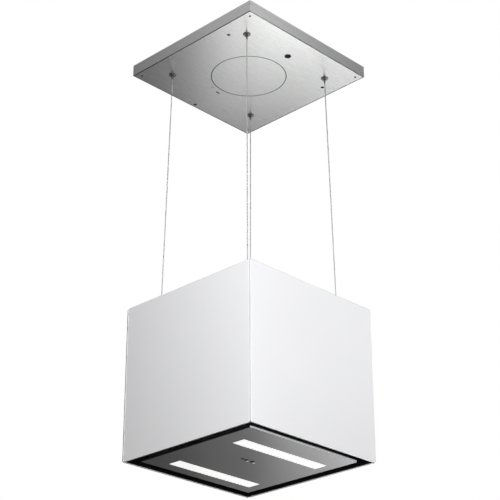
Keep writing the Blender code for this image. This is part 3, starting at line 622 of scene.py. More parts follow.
def turned(profile, sides, closed=False, phase=0.0):
    """A (radius, height) outline turned about Z. An open outline starts and ends on the axis."""
    bm = bmesh.new()
    across = Vector((math.cos(phase), math.sin(phase), 0.0))
    verts = [bm.verts.new(across * r + Vector((0.0, 0.0, z))) for r, z in profile]
    pairs = zip(verts, verts[1:] + verts[:1] if closed else verts[1:])
    edges = [bm.edges.new(pair) for pair in pairs]
    bmesh.ops.spin(bm, geom=verts + edges, cent=(0, 0, 0), axis=(0, 0, 1),
                   angle=FULL_TURN, steps=sides, use_merge=True)
    bmesh.ops.remove_doubles(bm, verts=bm.verts[:], dist=1e-6)
    bmesh.ops.dissolve_degenerate(bm, dist=1e-7, edges=bm.edges[:])
    return bm


def square_ring(profile):
    """A (half side, height) outline carried round a square."""
    return turned([(half * ROOT2, z) for half, z in profile], 4, True, math.pi / 4)


def lofted(rings, sides, closed=False):
    """A body through (radius, height, flats) rings. flats is 0 for a circle or 6 for a hexagon."""
    bm = bmesh.new()
    loops = []
    for radius, level, flats in rings:
        verts = bmesh.ops.create_circle(bm, segments=sides, radius=radius,
                                        matrix=Matrix.Translation((0, 0, level)))["verts"]
        if flats:
            flatten_ring(verts, flats)
        loops.append(list({edge for vert in verts for edge in vert.link_edges}))
    pairs = list(zip(loops, loops[1:]))
    if closed:
        pairs.append((loops[-1], loops[0]))
    for first, second in pairs:
        bmesh.ops.bridge_loops(bm, edges=first + second)
    if not closed:
        for loop in (loops[0], loops[-1]):
            bmesh.ops.contextual_create(bm, geom=loop)
    return bm


def flatten_ring(verts, flats):
    """Moves the vertices of a circle onto a polygon that lies inside it."""
    sector = FULL_TURN / flats
    for vert in verts:
        angle = math.atan2(vert.co.y, vert.co.x) % sector
        pull = math.cos(sector / 2) / math.cos(angle - sector / 2)
        vert.co.x *= pull
        vert.co.y *= pull


def add_box(bm, low, high, rounding=0.0, segments=2):
    """A box between two corners, with its edges rounded."""
    size = [b - a for a, b in zip(low, high)]
    middle = [(a + b) / 2 for a, b in zip(low, high)]
    shape = Matrix.Translation(middle) @ Matrix.Diagonal((*size, 1.0))
    verts = bmesh.ops.create_cube(bm, size=1.0, matrix=shape)["verts"]
    if rounding:
        edges = list({edge for vert in verts for edge in vert.link_edges})
        bmesh.ops.bevel(bm, geom=edges, offset=rounding, segments=segments, affect="EDGES",
                        profile=0.5, material=-1)


def merge(bm, other, matrix=Matrix.Identity(4), index=None):
    """Adds another bmesh as a separate body of the same piece, and frees it."""
    bmesh.ops.recalc_face_normals(other, faces=other.faces[:])
    if index is not None:
        for face in other.faces:
            face.material_index = index
    other.transform(matrix)
    held = bpy.data.meshes.new("held")
    other.to_mesh(held)
    other.free()
    bm.from_mesh(held)
    bpy.data.meshes.remove(held)


def round_loop(bm, centre, radius, sides, level):
    shape = Matrix.Translation((centre[0], centre[1], level))
    bmesh.ops.create_circle(bm, segments=sides, radius=radius, matrix=shape)


def rounded_loop(bm, low, high, corner, level, steps=5):
    """A flat rectangle outline with rounded corners."""
    middle = ((low[0] + high[0]) / 2, (low[1] + high[1]) / 2, level)
    spread = Matrix.Diagonal(((high[0] - low[0]) / ROOT2, (high[1] - low[1]) / ROOT2, 1.0, 1.0))
    shape = Matrix.Translation(middle) @ spread @ Matrix.Rotation(math.pi / 4, 4, "Z")
    verts = bmesh.ops.create_circle(bm, segments=4, radius=1.0, matrix=shape)["verts"]
    bmesh.ops.bevel(bm, geom=verts, offset=corner, segments=steps, affect="VERTICES",
                    profile=0.5, material=-1)


def filled_sheet(bm, thickness):
    """Fills a flat sheet's outlines, leaves the inner ones open and thickens it upwards."""
    bmesh.ops.triangle_fill(bm, edges=bm.edges[:], use_beauty=True, use_dissolve=False)
    grown = bmesh.ops.extrude_face_region(bm, geom=bm.faces[:])["geom"]
    raised = [item for item in grown if isinstance(item, bmesh.types.BMVert)]
    bmesh.ops.translate(bm, vec=(0, 0, thickness), verts=raised)
    return bm


def rim_edges(bm, level, reach=None):
    """Edges where a sheet's face at that level turns into its side, or only those beyond reach."""
    bmesh.ops.recalc_face_normals(bm, faces=bm.faces[:])
    found = []
    for edge in bm.edges:
        flat = all(abs(vert.co.z - level) < 1e-6 for vert in edge.verts)
        far = reach is None or all(max(abs(vert.co.x), abs(vert.co.y)) > reach for vert in edge.verts)
        if flat and far and len(edge.link_faces) == 2 and edge.calc_face_angle() > 1.0:
            found.append(edge)
    return found


def coil(radius, wire, pitch, turns, sides=8, steps=20):
    """A spring about Z that starts at height 0."""
    bm = bmesh.new()
    upright = Matrix.Translation((radius, 0, 0)) @ Matrix.Rotation(math.pi / 2, 4, "X")
    ring = bmesh.ops.create_circle(bm, cap_ends=False, segments=sides, radius=wire, matrix=upright)
    section = ring["verts"]
    count = int(turns * steps)
    bmesh.ops.spin(bm, geom=section + bm.edges[:], cent=(0, 0, 0), axis=(0, 0, 1),
                   dvec=(0, 0, pitch / steps), angle=FULL_TURN * turns, steps=count)
    bmesh.ops.holes_fill(bm, edges=bm.edges[:], sides=0)
    return bm


def socket_screw(radius, height, flats=6, sides=24):
    """A low domed screw head about Z with a six-sided socket. It stands on height 0."""
    across, deep = radius * 0.46, height * 0.6
    rings = [(radius, 0.0, 0), (radius, height * 0.35, 0), (radius * 0.88, height * 0.78, 0),
             (radius * 0.68, height, 0), (across, height, flats), (across, height - deep, flats)]
    return lofted(rings, sides)


def screw_row(name, places, body, radius=0.003, height=0.0016, facing=Matrix.Identity(4),
              look="Zinc screw"):
    """Like screws at several places, as one piece. facing turns a screw's +Z to where its head looks."""
    bm = bmesh.new()
    for point in places:
        merge(bm, socket_screw(radius, height), Matrix.Translation(point) @ facing)
    return piece(name, bm, look, body)


def four_corners(reach_x, reach_y):
    return [(-reach_x, -reach_y), (reach_x, -reach_y), (reach_x, reach_y), (-reach_x, reach_y)]


# ---------------------------------------------------------------- ceiling box


def ceiling_skirt():
    """Folded skirt with an inward lip, rounded folds and four corner tabs."""
    low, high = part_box("ceiling_frame")
    half, wall, lip = high.x, 0.0012, 0.006
    inner = half - wall
    profile = [(inner, low.z), (half, low.z), (half, high.z), (half - lip, high.z),
               (half - lip, high.z - wall), (inner, high.z - wall)]
    bm = square_ring(profile)
    soften(bm, 0.0004, 3)
    bm.normal_update()
    for face in bm.faces:
        # Faces inside the skirt and its lower end get the dark finish: painted shade in the gap round the
        # sheet.
        middle = face.calc_center_median()
        inside = max(abs(middle.x), abs(middle.y)) < half - wall / 2
        face.material_index = 1 if inside or middle.z < low.z + 0.0001 else 0
    tab_low, tab_high = low.z + 0.0018, low.z + 0.0033
    for x, y in four_corners(1, 1):
        near, far = 0.183, half - wall / 2
        spans = [sorted((side * near, side * far)) for side in (x, y)]
        add_box(bm, (spans[0][0], spans[1][0], tab_low), (spans[0][1], spans[1][1], tab_high), 0.0003)
    piece("ceiling_skirt", bm, ("Brushed skirt", "Painted shade"), "ceiling", ["ceiling_frame"])


def ceiling_sheet():
    """Flat underside with the disc opening and the holes for wires, screws and the cable."""
    low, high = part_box("ceiling_plate")
    screw_hole, marker_hole, shank_hole, cable_hole = 0.0021, 0.0044, 0.0044, 0.0068
    disc_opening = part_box("duct_blanking_disc")[1].x - 0.0061
    marker_reach, trim = 0.194, 0.0005
    bm = bmesh.new()
    rounded_loop(bm, (low.x + trim, low.y + trim), (high.x - trim, high.y - trim), 0.0015, low.z, 4)
    round_loop(bm, (0, 0), disc_opening, 128, low.z)
    for index in range(1, 5):
        round_loop(bm, centre_of(f"wire_anchor_{index}"), shank_hole, 24, low.z)
        round_loop(bm, centre_of(f"plate_screw_{index}"), screw_hole, 20, low.z)
    for degrees in (90, 210, 330):
        angle = math.radians(degrees)
        middle = (marker_reach * math.cos(angle), marker_reach * math.sin(angle))
        round_loop(bm, middle, marker_hole, 28, low.z)
    round_loop(bm, centre_of("cable_grommet"), cable_hole, 40, low.z)
    filled_sheet(bm, high.z - low.z)
    bmesh.ops.recalc_face_normals(bm, faces=bm.faces[:])
    bm.normal_update()
    # Hole walls and the sheet's rim get the dark finish: painted shade in the holes and seams.
    for face in bm.faces:
        face.material_index = 0 if abs(face.normal.z) > 0.9 else 1
    piece("ceiling_sheet", bm, ("Brushed sheet", "Painted shade"), "ceiling", ["ceiling_plate"])


def duct_disc():
    """Blanking disc, level with the sheet, with the wider step that rests behind it."""
    low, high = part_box("duct_blanking_disc")
    face = high.x - 0.0083
    step = high.z - 0.001
    profile = [(0.0, low.z), (face, low.z), (face, step), (high.x, step), (high.x, high.z), (0.0, high.z)]
    bm = turned(profile, 128)
    # The step and rim outside the disc's face get the dark finish: painted shade in the seam round the
    # disc.
    for each in bm.faces:
        each.material_index = 0 if each.calc_center_median().xy.length < face * 0.99 else 1
    piece("duct_disc", bm, ("Brushed sheet", "Painted shade"), "ceiling", ["duct_blanking_disc"])


def punched_marks():
    """A short slot and a centre dot pressed into the underside, each drawn as a thin dark piece: painted
    shade in the recess.
    """
    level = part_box("ceiling_plate")[0].z - 0.00012
    depth = 0.0004
    for name, low, high, corner in (("slot_mark", (-0.0060, 0.1085), (0.0060, 0.1125), 0.0019),
                                    ("dot_mark", (-0.0298, 0.1002), (-0.0262, 0.1038), 0.0017)):
        bm = bmesh.new()
        rounded_loop(bm, low, high, corner, level, 6)
        piece(name, filled_sheet(bm, depth), "Painted shade", "ceiling")


def ceiling_back():
    """Bracket against the ceiling, with domed socket screws on its four fixings."""
    refinish("Galvanised sheet", "ceiling_bracket")
    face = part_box("ceiling_bracket")[1].z - 0.0025
    bm = bmesh.new()
    for x, y in ((0.176, 0.05), (-0.176, 0.05), (0.05, -0.176), (-0.05, 0.176)):
        merge(bm, socket_screw(0.0042, 0.0024), Matrix.Translation((x, y, face)) @ LOOKING_DOWN)
    piece("bracket_rivets", bm, "Zinc screw", "ceiling")


# ---------------------------------------------------------------- ceiling fittings


def wire_anchor(index):
    """Anchor with a round-edged flange, two bright spanner studs and a slim tapering nose."""
    low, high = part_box(f"wire_anchor_{index}")
    flange, face = (high.x - low.x) / 2, SHEET_FACE
    bore, nose, tail = 0.0015, low.z, -0.0170
    stud_reach, stud_level = 0.0036, face - 0.0023
    body = [(bore, nose + 0.0006), (0.0018, nose + 0.0006), (0.0020, nose + 0.0016),
            (0.0022, nose + 0.0055), (0.0025, face - 0.0030), (0.0030, face - 0.0023),
            (0.0038, face - 0.0019),
            (flange - 0.0012, face - 0.0019), (flange - 0.0004, face - 0.0016), (flange, face - 0.0009),
            (flange, face - 0.0003), (flange - 0.0004, face), (0.0040, face),
            (0.0040, tail - 0.0002), (0.0036, tail), (bore, tail)]
    bm = turned(body, 48, True)
    collet = turned([(bore, nose), (0.0017, nose), (0.0019, nose + 0.0003), (0.0019, nose + 0.0010),
                     (bore, nose + 0.0010)], 36, True)
    merge(bm, collet)
    for side in (-1, 1):
        stud = turned([(0.0, 0.0), (0.0013, 0.0), (0.0016, 0.0003), (0.0016, 0.0008),
                       (0.0, 0.0008)], 20)
        merge(bm, stud, Matrix.Translation((side * stud_reach, -side * stud_reach, stud_level)), 1)
    bm.transform(Matrix.Translation((*((low + high) / 2).xy, 0.0)))
    piece(f"anchor_{index}", bm, ("Turned nickel", "Bright nickel"), "ceiling", [f"wire_anchor_{index}"])


def rubber_grommet():
    low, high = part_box("cable_grommet")
    flange = (high.x - low.x) / 2
    neck, bore = flange - 0.0015, 0.005
    profile = [(bore, low.z), (flange, low.z), (flange, low.z + 0.001), (neck, low.z + 0.001),
               (neck, high.z - 0.001), (flange, high.z - 0.001), (flange, high.z), (bore, high.z)]
    bm = turned(profile, 48, True)
    soften(bm, 0.0004, 3)
    lip = turned([(0.0028, low.z + 0.0012), (bore + 0.0001, low.z + 0.0010),
                  (bore + 0.0001, low.z + 0.0018), (0.0028, low.z + 0.0016)], 40, True)
    merge(bm, lip)
    bm.transform(Matrix.Translation((*((low + high) / 2).xy, 0.0)))
    piece("rubber_grommet", bm, "Soft rubber", "ceiling", ["cable_grommet"])


def sheet_screw(index):
    """Small round-headed screw that holds the sheet to a corner tab."""
    low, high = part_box(f"plate_screw_{index}")
    middle = (low + high) / 2
    radius, shank_radius = (high.x - low.x) / 2, 0.0018
    bm = socket_screw(radius, SHEET_FACE - low.z)
    bm.transform(Matrix.Translation((middle.x, middle.y, SHEET_FACE)) @ LOOKING_DOWN)
    shank = turned([(0.0, SHEET_FACE), (shank_radius, SHEET_FACE),
                    (shank_radius, high.z - 0.001), (0.0, high.z)], 24)
    merge(bm, shank, Matrix.Translation((middle.x, middle.y, 0.0)))
    piece(f"sheet_screw_{index}", bm, "Turned nickel", "ceiling", [f"plate_screw_{index}"])


def suspension_wire(index):
    """A twisted wire from its anchor to the hood's gripper, with a ferrule and a fused tip."""
    wires = bpy.context.scene.hood_wires
    top, foot = centre_of(f"wire_anchor_{index}"), centre_of(f"wire_gripper_{index}")
    low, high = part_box(f"suspension_wire_{index}")
    start, end = high.z, low.z
    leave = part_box(f"wire_anchor_{index}")[0].z - 0.001
    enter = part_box(f"wire_gripper_{index}")[1].z + 0.002
    turns = round((start - end) / wires.lay)
    lay = (start - end) / turns
    steps, groove_depth = 20, 0.03
    bm = bmesh.new()
    section = bmesh.ops.create_circle(bm, segments=4 * wires.strands, radius=wires.radius,
                                      matrix=Matrix.Translation((0, 0, start)))["verts"]
    for vert in section:
        around = math.atan2(vert.co.y, vert.co.x)
        groove = 1 - groove_depth * (0.5 - 0.5 * math.cos(wires.strands * around))
        vert.co.x *= groove
        vert.co.y *= groove
    bmesh.ops.spin(bm, geom=section + bm.edges[:], cent=(0, 0, 0), axis=(0, 0, 1),
                   dvec=(0, 0, -lay / steps), angle=FULL_TURN, steps=steps)
    twist = bpy.data.meshes.new("twist")
    bm.to_mesh(twist)
    for _ in range(1, turns):
        twist.transform(Matrix.Translation((0, 0, -lay)))
        bm.from_mesh(twist)
    bpy.data.meshes.remove(twist)
    bmesh.ops.remove_doubles(bm, verts=bm.verts[:], dist=1e-6)
    bmesh.ops.holes_fill(bm, edges=bm.edges[:], sides=0)
    ferrule = turned([(0.0, start), (0.0018, start), (0.0022, start - 0.0005), (0.0022, start - 0.0040),
                      (0.0018, start - 0.0045), (0.0, start - 0.0045)], 24)
    merge(bm, ferrule)
    tip = turned([(0.0, end), (0.0013, end + 0.0003), (0.0016, end + 0.0012), (0.0016, end + 0.0055),
                  (0.0012, end + 0.0062), (0.0, end + 0.0062)], 24)
    merge(bm, tip)
    for vert in bm.verts:
        down = min(1.0, max(0.0, (leave - vert.co.z) / (leave - enter)))
        vert.co.x += top.x + (foot.x - top.x) * down
        vert.co.y += top.y + (foot.y - top.y) * down
    piece(f"wire_{index}", bm, "Stranded steel", "ceiling", [f"suspension_wire_{index}"])


# ---------------------------------------------------------------- glass cube


def glass_pane(node, name):
    """A pane with rounded corners: enamelled faces, polished edges and a ground arris between them."""
    glass = bpy.context.scene.hood_glass
    low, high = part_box(node)
    thin = 0 if high.x - low.x < high.y - low.y else 1
    bm = bmesh.new()
    add_box(bm, low, high)
    crossing = [e for e in bm.edges if abs(e.verts[0].co[thin] - e.verts[1].co[thin]) > GLASS_THICK / 2]
    soften(bm, glass.corner, 6, crossing)
    bm.normal_update()
    for face in bm.faces:
        face.material_index = 0 if abs(face.normal[thin]) > 0.9 else 1
    rims = [e for e in bm.edges if {f.material_index for f in e.link_faces} == {0, 1}]
    # Arris faces below the top edge get the arris finish with its painted highlight; those on top get the
    # plain edge finish.
    for face in soften(bm, glass.arris, 3, rims):
        on_top = face.calc_center_median().z > high.z - glass.arris
        face.material_index = 1 if on_top else 2
    piece(name, bm, ("White glass", "Glass edge", "Glass arris highlight"), "hood", [node])


def bond_tapes():
    """Two strips of bonding tape behind each pane."""
    gap_low, gap_high = HOOD_HALF - GLASS_THICK - 0.0006, HOOD_HALF - GLASS_THICK - 0.0001
    reach, half_width, low, high = 0.180, 0.008, up(0.070), up(0.340)
    for index, turn in enumerate((0, 90, 180, 270), 1):
        bm = bmesh.new()
        for side in (-1, 1):
            add_box(bm, (side * reach - half_width, -gap_high, low),
                    (side * reach + half_width, -gap_low, high), 0.0001, 1)
        bm.transform(Matrix.Rotation(math.radians(turn), 4, "Z"))
        piece(f"bond_tape_{index}", bm, "Foam tape", "hood")


# ---------------------------------------------------------------- top of the cube


def top_cover():
    """White cover with two banks of round-ended outlet slots."""
    low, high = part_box("top_panel")
    slot_length, slot_width, web, pitch, rows = 0.104, 0.006, 0.010, 0.014, 12
    bm = bmesh.new()
    rounded_loop(bm, low, high, 0.002, low.z)
    for index in range(1, 5):
        round_loop(bm, centre_of(f"wire_gripper_{index}"), 0.0073, 36, low.z)
    round_loop(bm, centre_of("cable_gland"), 0.0084, 40, low.z)
    for row in range(rows):
        y = (row - (rows - 1) / 2) * pitch
        for x in (-(slot_length + web) / 2, (slot_length + web) / 2):
            rounded_loop(bm, (x - slot_length / 2, y - slot_width / 2),
                         (x + slot_length / 2, y + slot_width / 2),
                         slot_width / 2 - 0.0001, low.z, 6)
    filled_sheet(bm, high.z - low.z)
    soften(bm, 0.0004, 2, rim_edges(bm, high.z))
    piece("top_cover", bm, "Painted white", "hood", ["top_panel"])
    places = [(x, y, high.z) for x, y in four_corners(0.182, 0.182)]
    screw_row("cover_screws", places, "hood", 0.0032, 0.0017)


def wire_gripper(index):
    """Knurled gripper barrel with a release nose."""
    low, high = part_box(f"wire_gripper_{index}")
    radius, bore = (high.x - low.x) / 2, 0.0029
    seat, top = low.z + 0.009, high.z
    profile = [(bore, low.z), (0.0052, low.z), (0.0052, seat), (radius, seat), (radius, seat + 0.004),
               (radius - 0.0005, seat + 0.0046), (radius - 0.0005, top - 0.0075), (radius, top - 0.007),
               (radius, top - 0.0035), (radius - 0.0010, top - 0.0028), (0.0048, top - 0.0018),
               (0.0046, top), (bore, top)]
    bm = turned(profile, 48, True)
    teeth = 36
    knurl = turned([(radius - 0.0008, seat + 0.0052), (radius - 0.0001, seat + 0.0056),
                    (radius - 0.0001, top - 0.0086), (radius - 0.0008, top - 0.0082)], 2 * teeth, True)
    for vert in knurl.verts:
        notch = round(math.atan2(vert.co.y, vert.co.x) / FULL_TURN * 2 * teeth) % 2
        vert.co.x *= 1 - 0.035 * notch
        vert.co.y *= 1 - 0.035 * notch
    merge(bm, knurl)
    nose = turned([(bore, top - 0.0006), (0.0042, top - 0.0006), (0.0042, top - 0.0002), (0.0036, top),
                   (bore, top)], 36, True)
    merge(bm, nose, index=1)
    bm.transform(Matrix.Translation((*((low + high) / 2).xy, 0.0)))
    piece(f"gripper_{index}", bm, ("Turned nickel", "Bright nickel"), "hood", [f"wire_gripper_{index}"])


def gland_body():
    """Cable gland: threaded neck, six-sided body and a domed, ribbed cap round an open bore."""
    low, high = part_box("cable_gland")
    outer = (high.x - low.x) / 2
    seat, bore = low.z + 0.010, 0.005
    neck, threads, thread_pitch, ribs = 0.0079, 6, 0.0014, 18
    rings = [(bore, low.z, 0), (neck, low.z, 0)]
    for thread in range(threads):
        level = low.z + 0.0010 + thread * thread_pitch
        rings += [(neck - 0.0005, level, 0), (neck, level + thread_pitch / 2, 0)]
    rings += [(neck - 0.0004, seat, 0), (outer * 0.97, seat, 6), (outer, seat + 0.0006, 6),
              (outer, seat + 0.0044, 6), (outer * 0.96, seat + 0.0050, 6), (0.0086, seat + 0.0054, 0),
              (0.0085, seat + 0.0085, 0), (0.0078, seat + 0.0105, 0), (0.0066, high.z - 0.0004, 0),
              (0.0058, high.z, 0), (bore, high.z, 0)]
    bm = lofted(rings, 48, True)
    for turn in range(ribs):
        rib = bmesh.new()
        add_box(rib, (0.0078, -0.0004, seat + 0.0058), (0.0089, 0.0004, seat + 0.0092), 0.0002, 1)
        merge(bm, rib, Matrix.Rotation(FULL_TURN * turn / ribs, 4, "Z"))
    bm.transform(Matrix.Translation((*((low + high) / 2).xy, 0.0)))
    piece("gland", bm, "Moulded black", "hood", ["cable_gland"])


def charcoal_cassette():
    """Charcoal cassette: a moulded frame with cross bars round a pleated fleece."""
    inside = bpy.context.scene.hood_inside
    low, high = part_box("charcoal_filter")
    rail, half_bar, pleat_height = 0.007, 0.0015, 0.012
    inset = rail - 0.001
    bm = bmesh.new()
    rounded_loop(bm, low, high, 0.003, low.z)
    rounded_loop(bm, (low.x + rail, low.y + rail), (high.x - rail, high.y - rail), 0.002, low.z)
    filled_sheet(bm, high.z - low.z)
    soften(bm, 0.0006, 2, rim_edges(bm, high.z))
    for x in (-0.040, 0.040):
        add_box(bm, (x - half_bar, low.y + inset, high.z - 0.002),
                (x + half_bar, high.y - inset, high.z), 0.0004)
    add_box(bm, (low.x + inset, -half_bar, high.z - 0.002),
            (high.x - inset, half_bar, high.z), 0.0004)
    piece("charcoal_frame", bm, "Moulded black", "hood", ["charcoal_filter"])
    fleece = bmesh.new()
    folds = 2 * inside.pleats
    middle = (low + high) / 2
    size = Matrix.Diagonal((high.x - low.x - 2 * rail - 0.0006,
                            high.y - low.y - 2 * rail - 0.0006, 1.0, 1.0))
    bmesh.ops.create_grid(fleece, x_segments=folds, y_segments=24, size=0.5,
                          matrix=Matrix.Translation((middle.x, middle.y, low.z + 0.003)) @ size)
    left = min(vert.co.x for vert in fleece.verts)
    step = (max(vert.co.x for vert in fleece.verts) - left) / folds
    for vert in fleece.verts:
        vert.co.z += pleat_height * (round((vert.co.x - left) / step) % 2)
    bmesh.ops.recalc_face_normals(fleece, faces=fleece.faces[:])
    bmesh.ops.solidify(fleece, geom=fleece.faces[:], thickness=0.0012)
    piece("charcoal_pleats", fleece, "Activated charcoal", "hood")


# ---------------------------------------------------------------- chassis


def chassis():
    """Finishes of the folded frames, and the screws that join them."""
    refinish("Powder black", "suction_frame")
    posts = [f"corner_post_{index}" for index in range(1, 5)]
    refinish("Galvanised sheet", "bottom_frame", "top_frame", *posts)
    reach = 0.183
    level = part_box("bottom_frame")[0].z + 0.0015
    screw_row("bottom_screws", [(x, y, level) for x, y in four_corners(reach, 0.120)], "hood")
    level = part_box("top_frame")[1].z
    screw_row("top_screws", [(x, y, level) for x, y in four_corners(reach, reach)], "hood", 0.0030, 0.0015)


# ---------------------------------------------------------------- suction panel


PRINT = 0.00006  # thickness of a layer of ink on the dark glass
TOUCH_FIELDS = ((-0.0270, 0.0042), (-0.0150, 0.0050), (0.0030, 0.0054))  # place along X and radius
TOUCH_SIGNS = (-0.0067, 0.0130)  # places along X
FIELD_ROW, SIGN_ROW = -0.006, -0.001  # their places along Y


def light_corners(node, margin=0.0):
    low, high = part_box(node)
    return (low.x - margin, low.y - margin), (high.x + margin, high.y + margin)


def panel_glass():
    """Dark glass face with rounded corners, ground edges and two openings for the lights."""
    low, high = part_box("panel_face")
    bm = bmesh.new()
    rounded_loop(bm, low, high, 0.0025, low.z, 6)
    for side in ("front", "rear"):
        rounded_loop(bm, *light_corners(f"light_diffuser_{side}", 0.0003), 0.0008, low.z, 4)
    filled_sheet(bm, high.z - low.z)
    outer = high.x - 0.004
    for level in (low.z, high.z):
        soften(bm, 0.0008, 2, rim_edges(bm, level, outer))
    bm.normal_update()
    # Only the front edge faces get the edge finish: a painted highlight line along the front.
    for face in bm.faces:
        if face.normal.y < -0.3 and face.calc_center_median().y < -outer:
            face.material_index = 1
    piece("panel_glass", bm, ("Dark glass", "Dark glass edge highlight"), "suction_panel", ["panel_face"])


def light_strip(side):
    node = f"light_diffuser_{side}"
    low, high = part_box(node)
    bm = bmesh.new()
    rounded_loop(bm, low, high, 0.0008, low.z, 4)
    filled_sheet(bm, high.z - low.z)
    soften(bm, 0.0003, 2, rim_edges(bm, low.z))
    piece(f"diffuser_{side}", bm, "Lit diffuser", "suction_panel", [node])


def touch_field(index, x, y, radius):
    """A round field of dark ink printed on the dark glass."""
    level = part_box("panel_face")[0].z
    bm = bmesh.new()
    round_loop(bm, (x, y), radius, 40, level - PRINT)
    filled_sheet(bm, PRINT)
    piece(f"touch_field_{index}", bm, "Touch ink", "suction_panel")


def touch_sign(index, x, y):
    """A lit round sign beside a touch field, with a dark bar across it."""
    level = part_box("panel_face")[0].z
    radius = 0.0034
    bm = bmesh.new()
    round_loop(bm, (x, y), radius, 40, level - PRINT)
    filled_sheet(bm, PRINT)
    bar = bmesh.new()
    rounded_loop(bar, (x - 0.0013, y - 0.0002), (x + 0.0013, y + 0.0002), 0.0001, level - 2 * PRINT, 3)
    filled_sheet(bar, PRINT)
    merge(bm, bar, index=1)
    piece(f"touch_sign_{index}", bm, ("Touch light", "Touch ink"), "suction_panel")


def lamp_board(side):
    """Rows of small lamps with their phosphor, on the board behind a light."""
    node = f"led_board_{side}"
    low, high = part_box(node)
    refinish("Circuit board", node)
    columns, rows, margin, row_pitch = 26, 2, 0.009, 0.010
    half_lamp, lamp_thick = 0.0014, 0.0007
    bm = bmesh.new()
    for column in range(columns):
        x = low.x + margin + (high.x - low.x - 2 * margin) * column / (columns - 1)
        for row in range(rows):
            y = centre_of(node).y + (row - 0.5) * row_pitch
            add_box(bm, (x - half_lamp, y - half_lamp, low.z - lamp_thick),
                    (x + half_lamp, y + half_lamp, low.z), 0.00015, 1)
    for face in bm.faces:
        face.material_index = 1
    for column in range(columns):
        x = low.x + margin + (high.x - low.x - 2 * margin) * column / (columns - 1)
        for row in range(rows):
            dome = turned([(0.0, 0.0), (0.0010, 0.0), (0.0009, -0.0003), (0.0, -0.00045)], 12)
            y = centre_of(node).y + (row - 0.5) * row_pitch
            merge(bm, dome, Matrix.Translation((x, y, low.z - lamp_thick + 0.00001)), 0)
    piece(f"lamps_{side}", bm, ("Lamp phosphor", "Painted white"), "suction_panel")


def sensor_parts():
    """Controller and small parts on the touch board."""
    refinish("Circuit board", "touch_board")
    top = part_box("touch_board")[1].z
    bm = bmesh.new()
    add_box(bm, (-0.008, -0.005, top), (0.002, 0.005, top + 0.0014), 0.0002)
    for side in (-1, 1):
        for pin in range(8):
            x = -0.0065 + pin * 0.001
            y = side * 0.0062
            add_box(bm, (x - 0.0002, y - 0.0012, top), (x + 0.0002, y + 0.0012, top + 0.0003))
    for x in (-0.028, -0.022, 0.012, 0.020):
        add_box(bm, (x - 0.0015, -0.001, top), (x + 0.0015, 0.001, top + 0.0008), 0.0002)
    add_box(bm, (0.022, -0.006, top), (0.027, 0.006, top + 0.005), 0.0004)
    piece("sensor_parts", bm, "Moulded black", "suction_panel")


def panel_back():
    """Tray behind the face, with its rivets and a soft seal round it."""
    refinish("Galvanised sheet", "panel_tray")
    level = up(0.022)
    places = [(x, y, level) for x, y in four_corners(0.148, 0.135)] + [(0.0, 0.135, level)]
    screw_row("tray_rivets", places, "suction_panel", 0.0026, 0.0011)
    inner, outer, top = 0.1375, 0.1425, level + 0.0018
    seal = square_ring([(inner, level), (outer, level), (outer, top), (inner, top)])
    soften(seal, 0.0007, 3)
    piece("tray_seal", seal, "Soft rubber", "suction_panel")


def hinge_pin(side, sign):
    """Round-headed hinge pin."""
    node = f"hinge_pin_{side}"
    low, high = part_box(node)
    radius, head = 0.002, (high.z - low.z) / 2
    run = high.x - low.x
    cap = 0.0018
    profile = [(0.0, 0.0), (radius - 0.0004, 0.0), (radius, 0.0004), (radius, run - cap),
               (head, run - cap), (head, run - 0.0006), (head - 0.0005, run - 0.0001), (0.0, run)]
    bm = turned(profile, 32)
    near = low.x if sign < 0 else high.x
    turn = ALONG_X if sign < 0 else Matrix.Rotation(-math.pi / 2, 4, "Y")
    bm.transform(Matrix.Translation((near, centre_of(node).y, centre_of(node).z)) @ turn)
    piece(f"pin_{side}", bm, "Bright nickel", "suction_panel", [node])


def catch():
    """Push catch: plunger with a round nose, and the spring behind it."""
    refinish("Moulded black", "catch_housing")
    low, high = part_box("catch_plunger")
    middle = (low + high) / 2
    radius = (high.x - low.x) / 2
    profile = [(0.0, low.z), (radius * 0.45, low.z + 0.0001), (radius * 0.8, low.z + 0.0008),
               (radius, low.z + 0.0020), (radius, high.z - 0.0003), (radius - 0.0003, high.z),
               (0.0, high.z)]
    bm = turned(profile, 36)
    bm.transform(Matrix.Translation((middle.x, middle.y, 0.0)))
    piece("plunger", bm, "Bright nickel", "catch", ["catch_plunger"])
    wire, turns, room = 0.0002, 4.0, 0.0049
    spring = coil(radius * 0.7, wire, (room - 2 * wire) / turns, turns)
    spring.transform(Matrix.Translation((middle.x, middle.y, high.z + wire + 0.0001)))
    made = piece("catch_spring", spring, "Zinc screw", "hood")
    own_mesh(made)


# ---------------------------------------------------------------- grease filter


def expanded_metal(level, half, pitch, turn):
    """A sheet of slit and stretched aluminium: zigzag strands that meet in diamonds."""
    rows = int(2 * half / (pitch * 0.5))
    rise = 2 * half / rows
    columns = int(2 * half / (pitch * 0.9))
    width, thick = 0.0009, 0.0005
    bm = bmesh.new()
    for row in range(rows):
        y = -half + rise * (row + 0.5)
        strand = bmesh.new()
        flat = Matrix.Translation((0, y, level)) @ Matrix.Diagonal((2 * half, width, 1.0, 1.0))
        bmesh.ops.create_grid(strand, x_segments=columns, y_segments=1, size=0.5, matrix=flat)
        for vert in strand.verts:
            step = round((vert.co.x + half) / (2 * half) * columns)
            lift = (rise - width) / 2 * (1 if (step + row) % 2 else -1)
            vert.co.y = min(half - 0.0002, max(0.0002 - half, vert.co.y + lift))
            vert.co.z += 0.0005 if step % 2 else 0.0
        bmesh.ops.solidify(strand, geom=strand.faces[:], thickness=thick)
        merge(bm, strand)
    bm.transform(Matrix.Rotation(turn, 4, "Z"))
    return bm


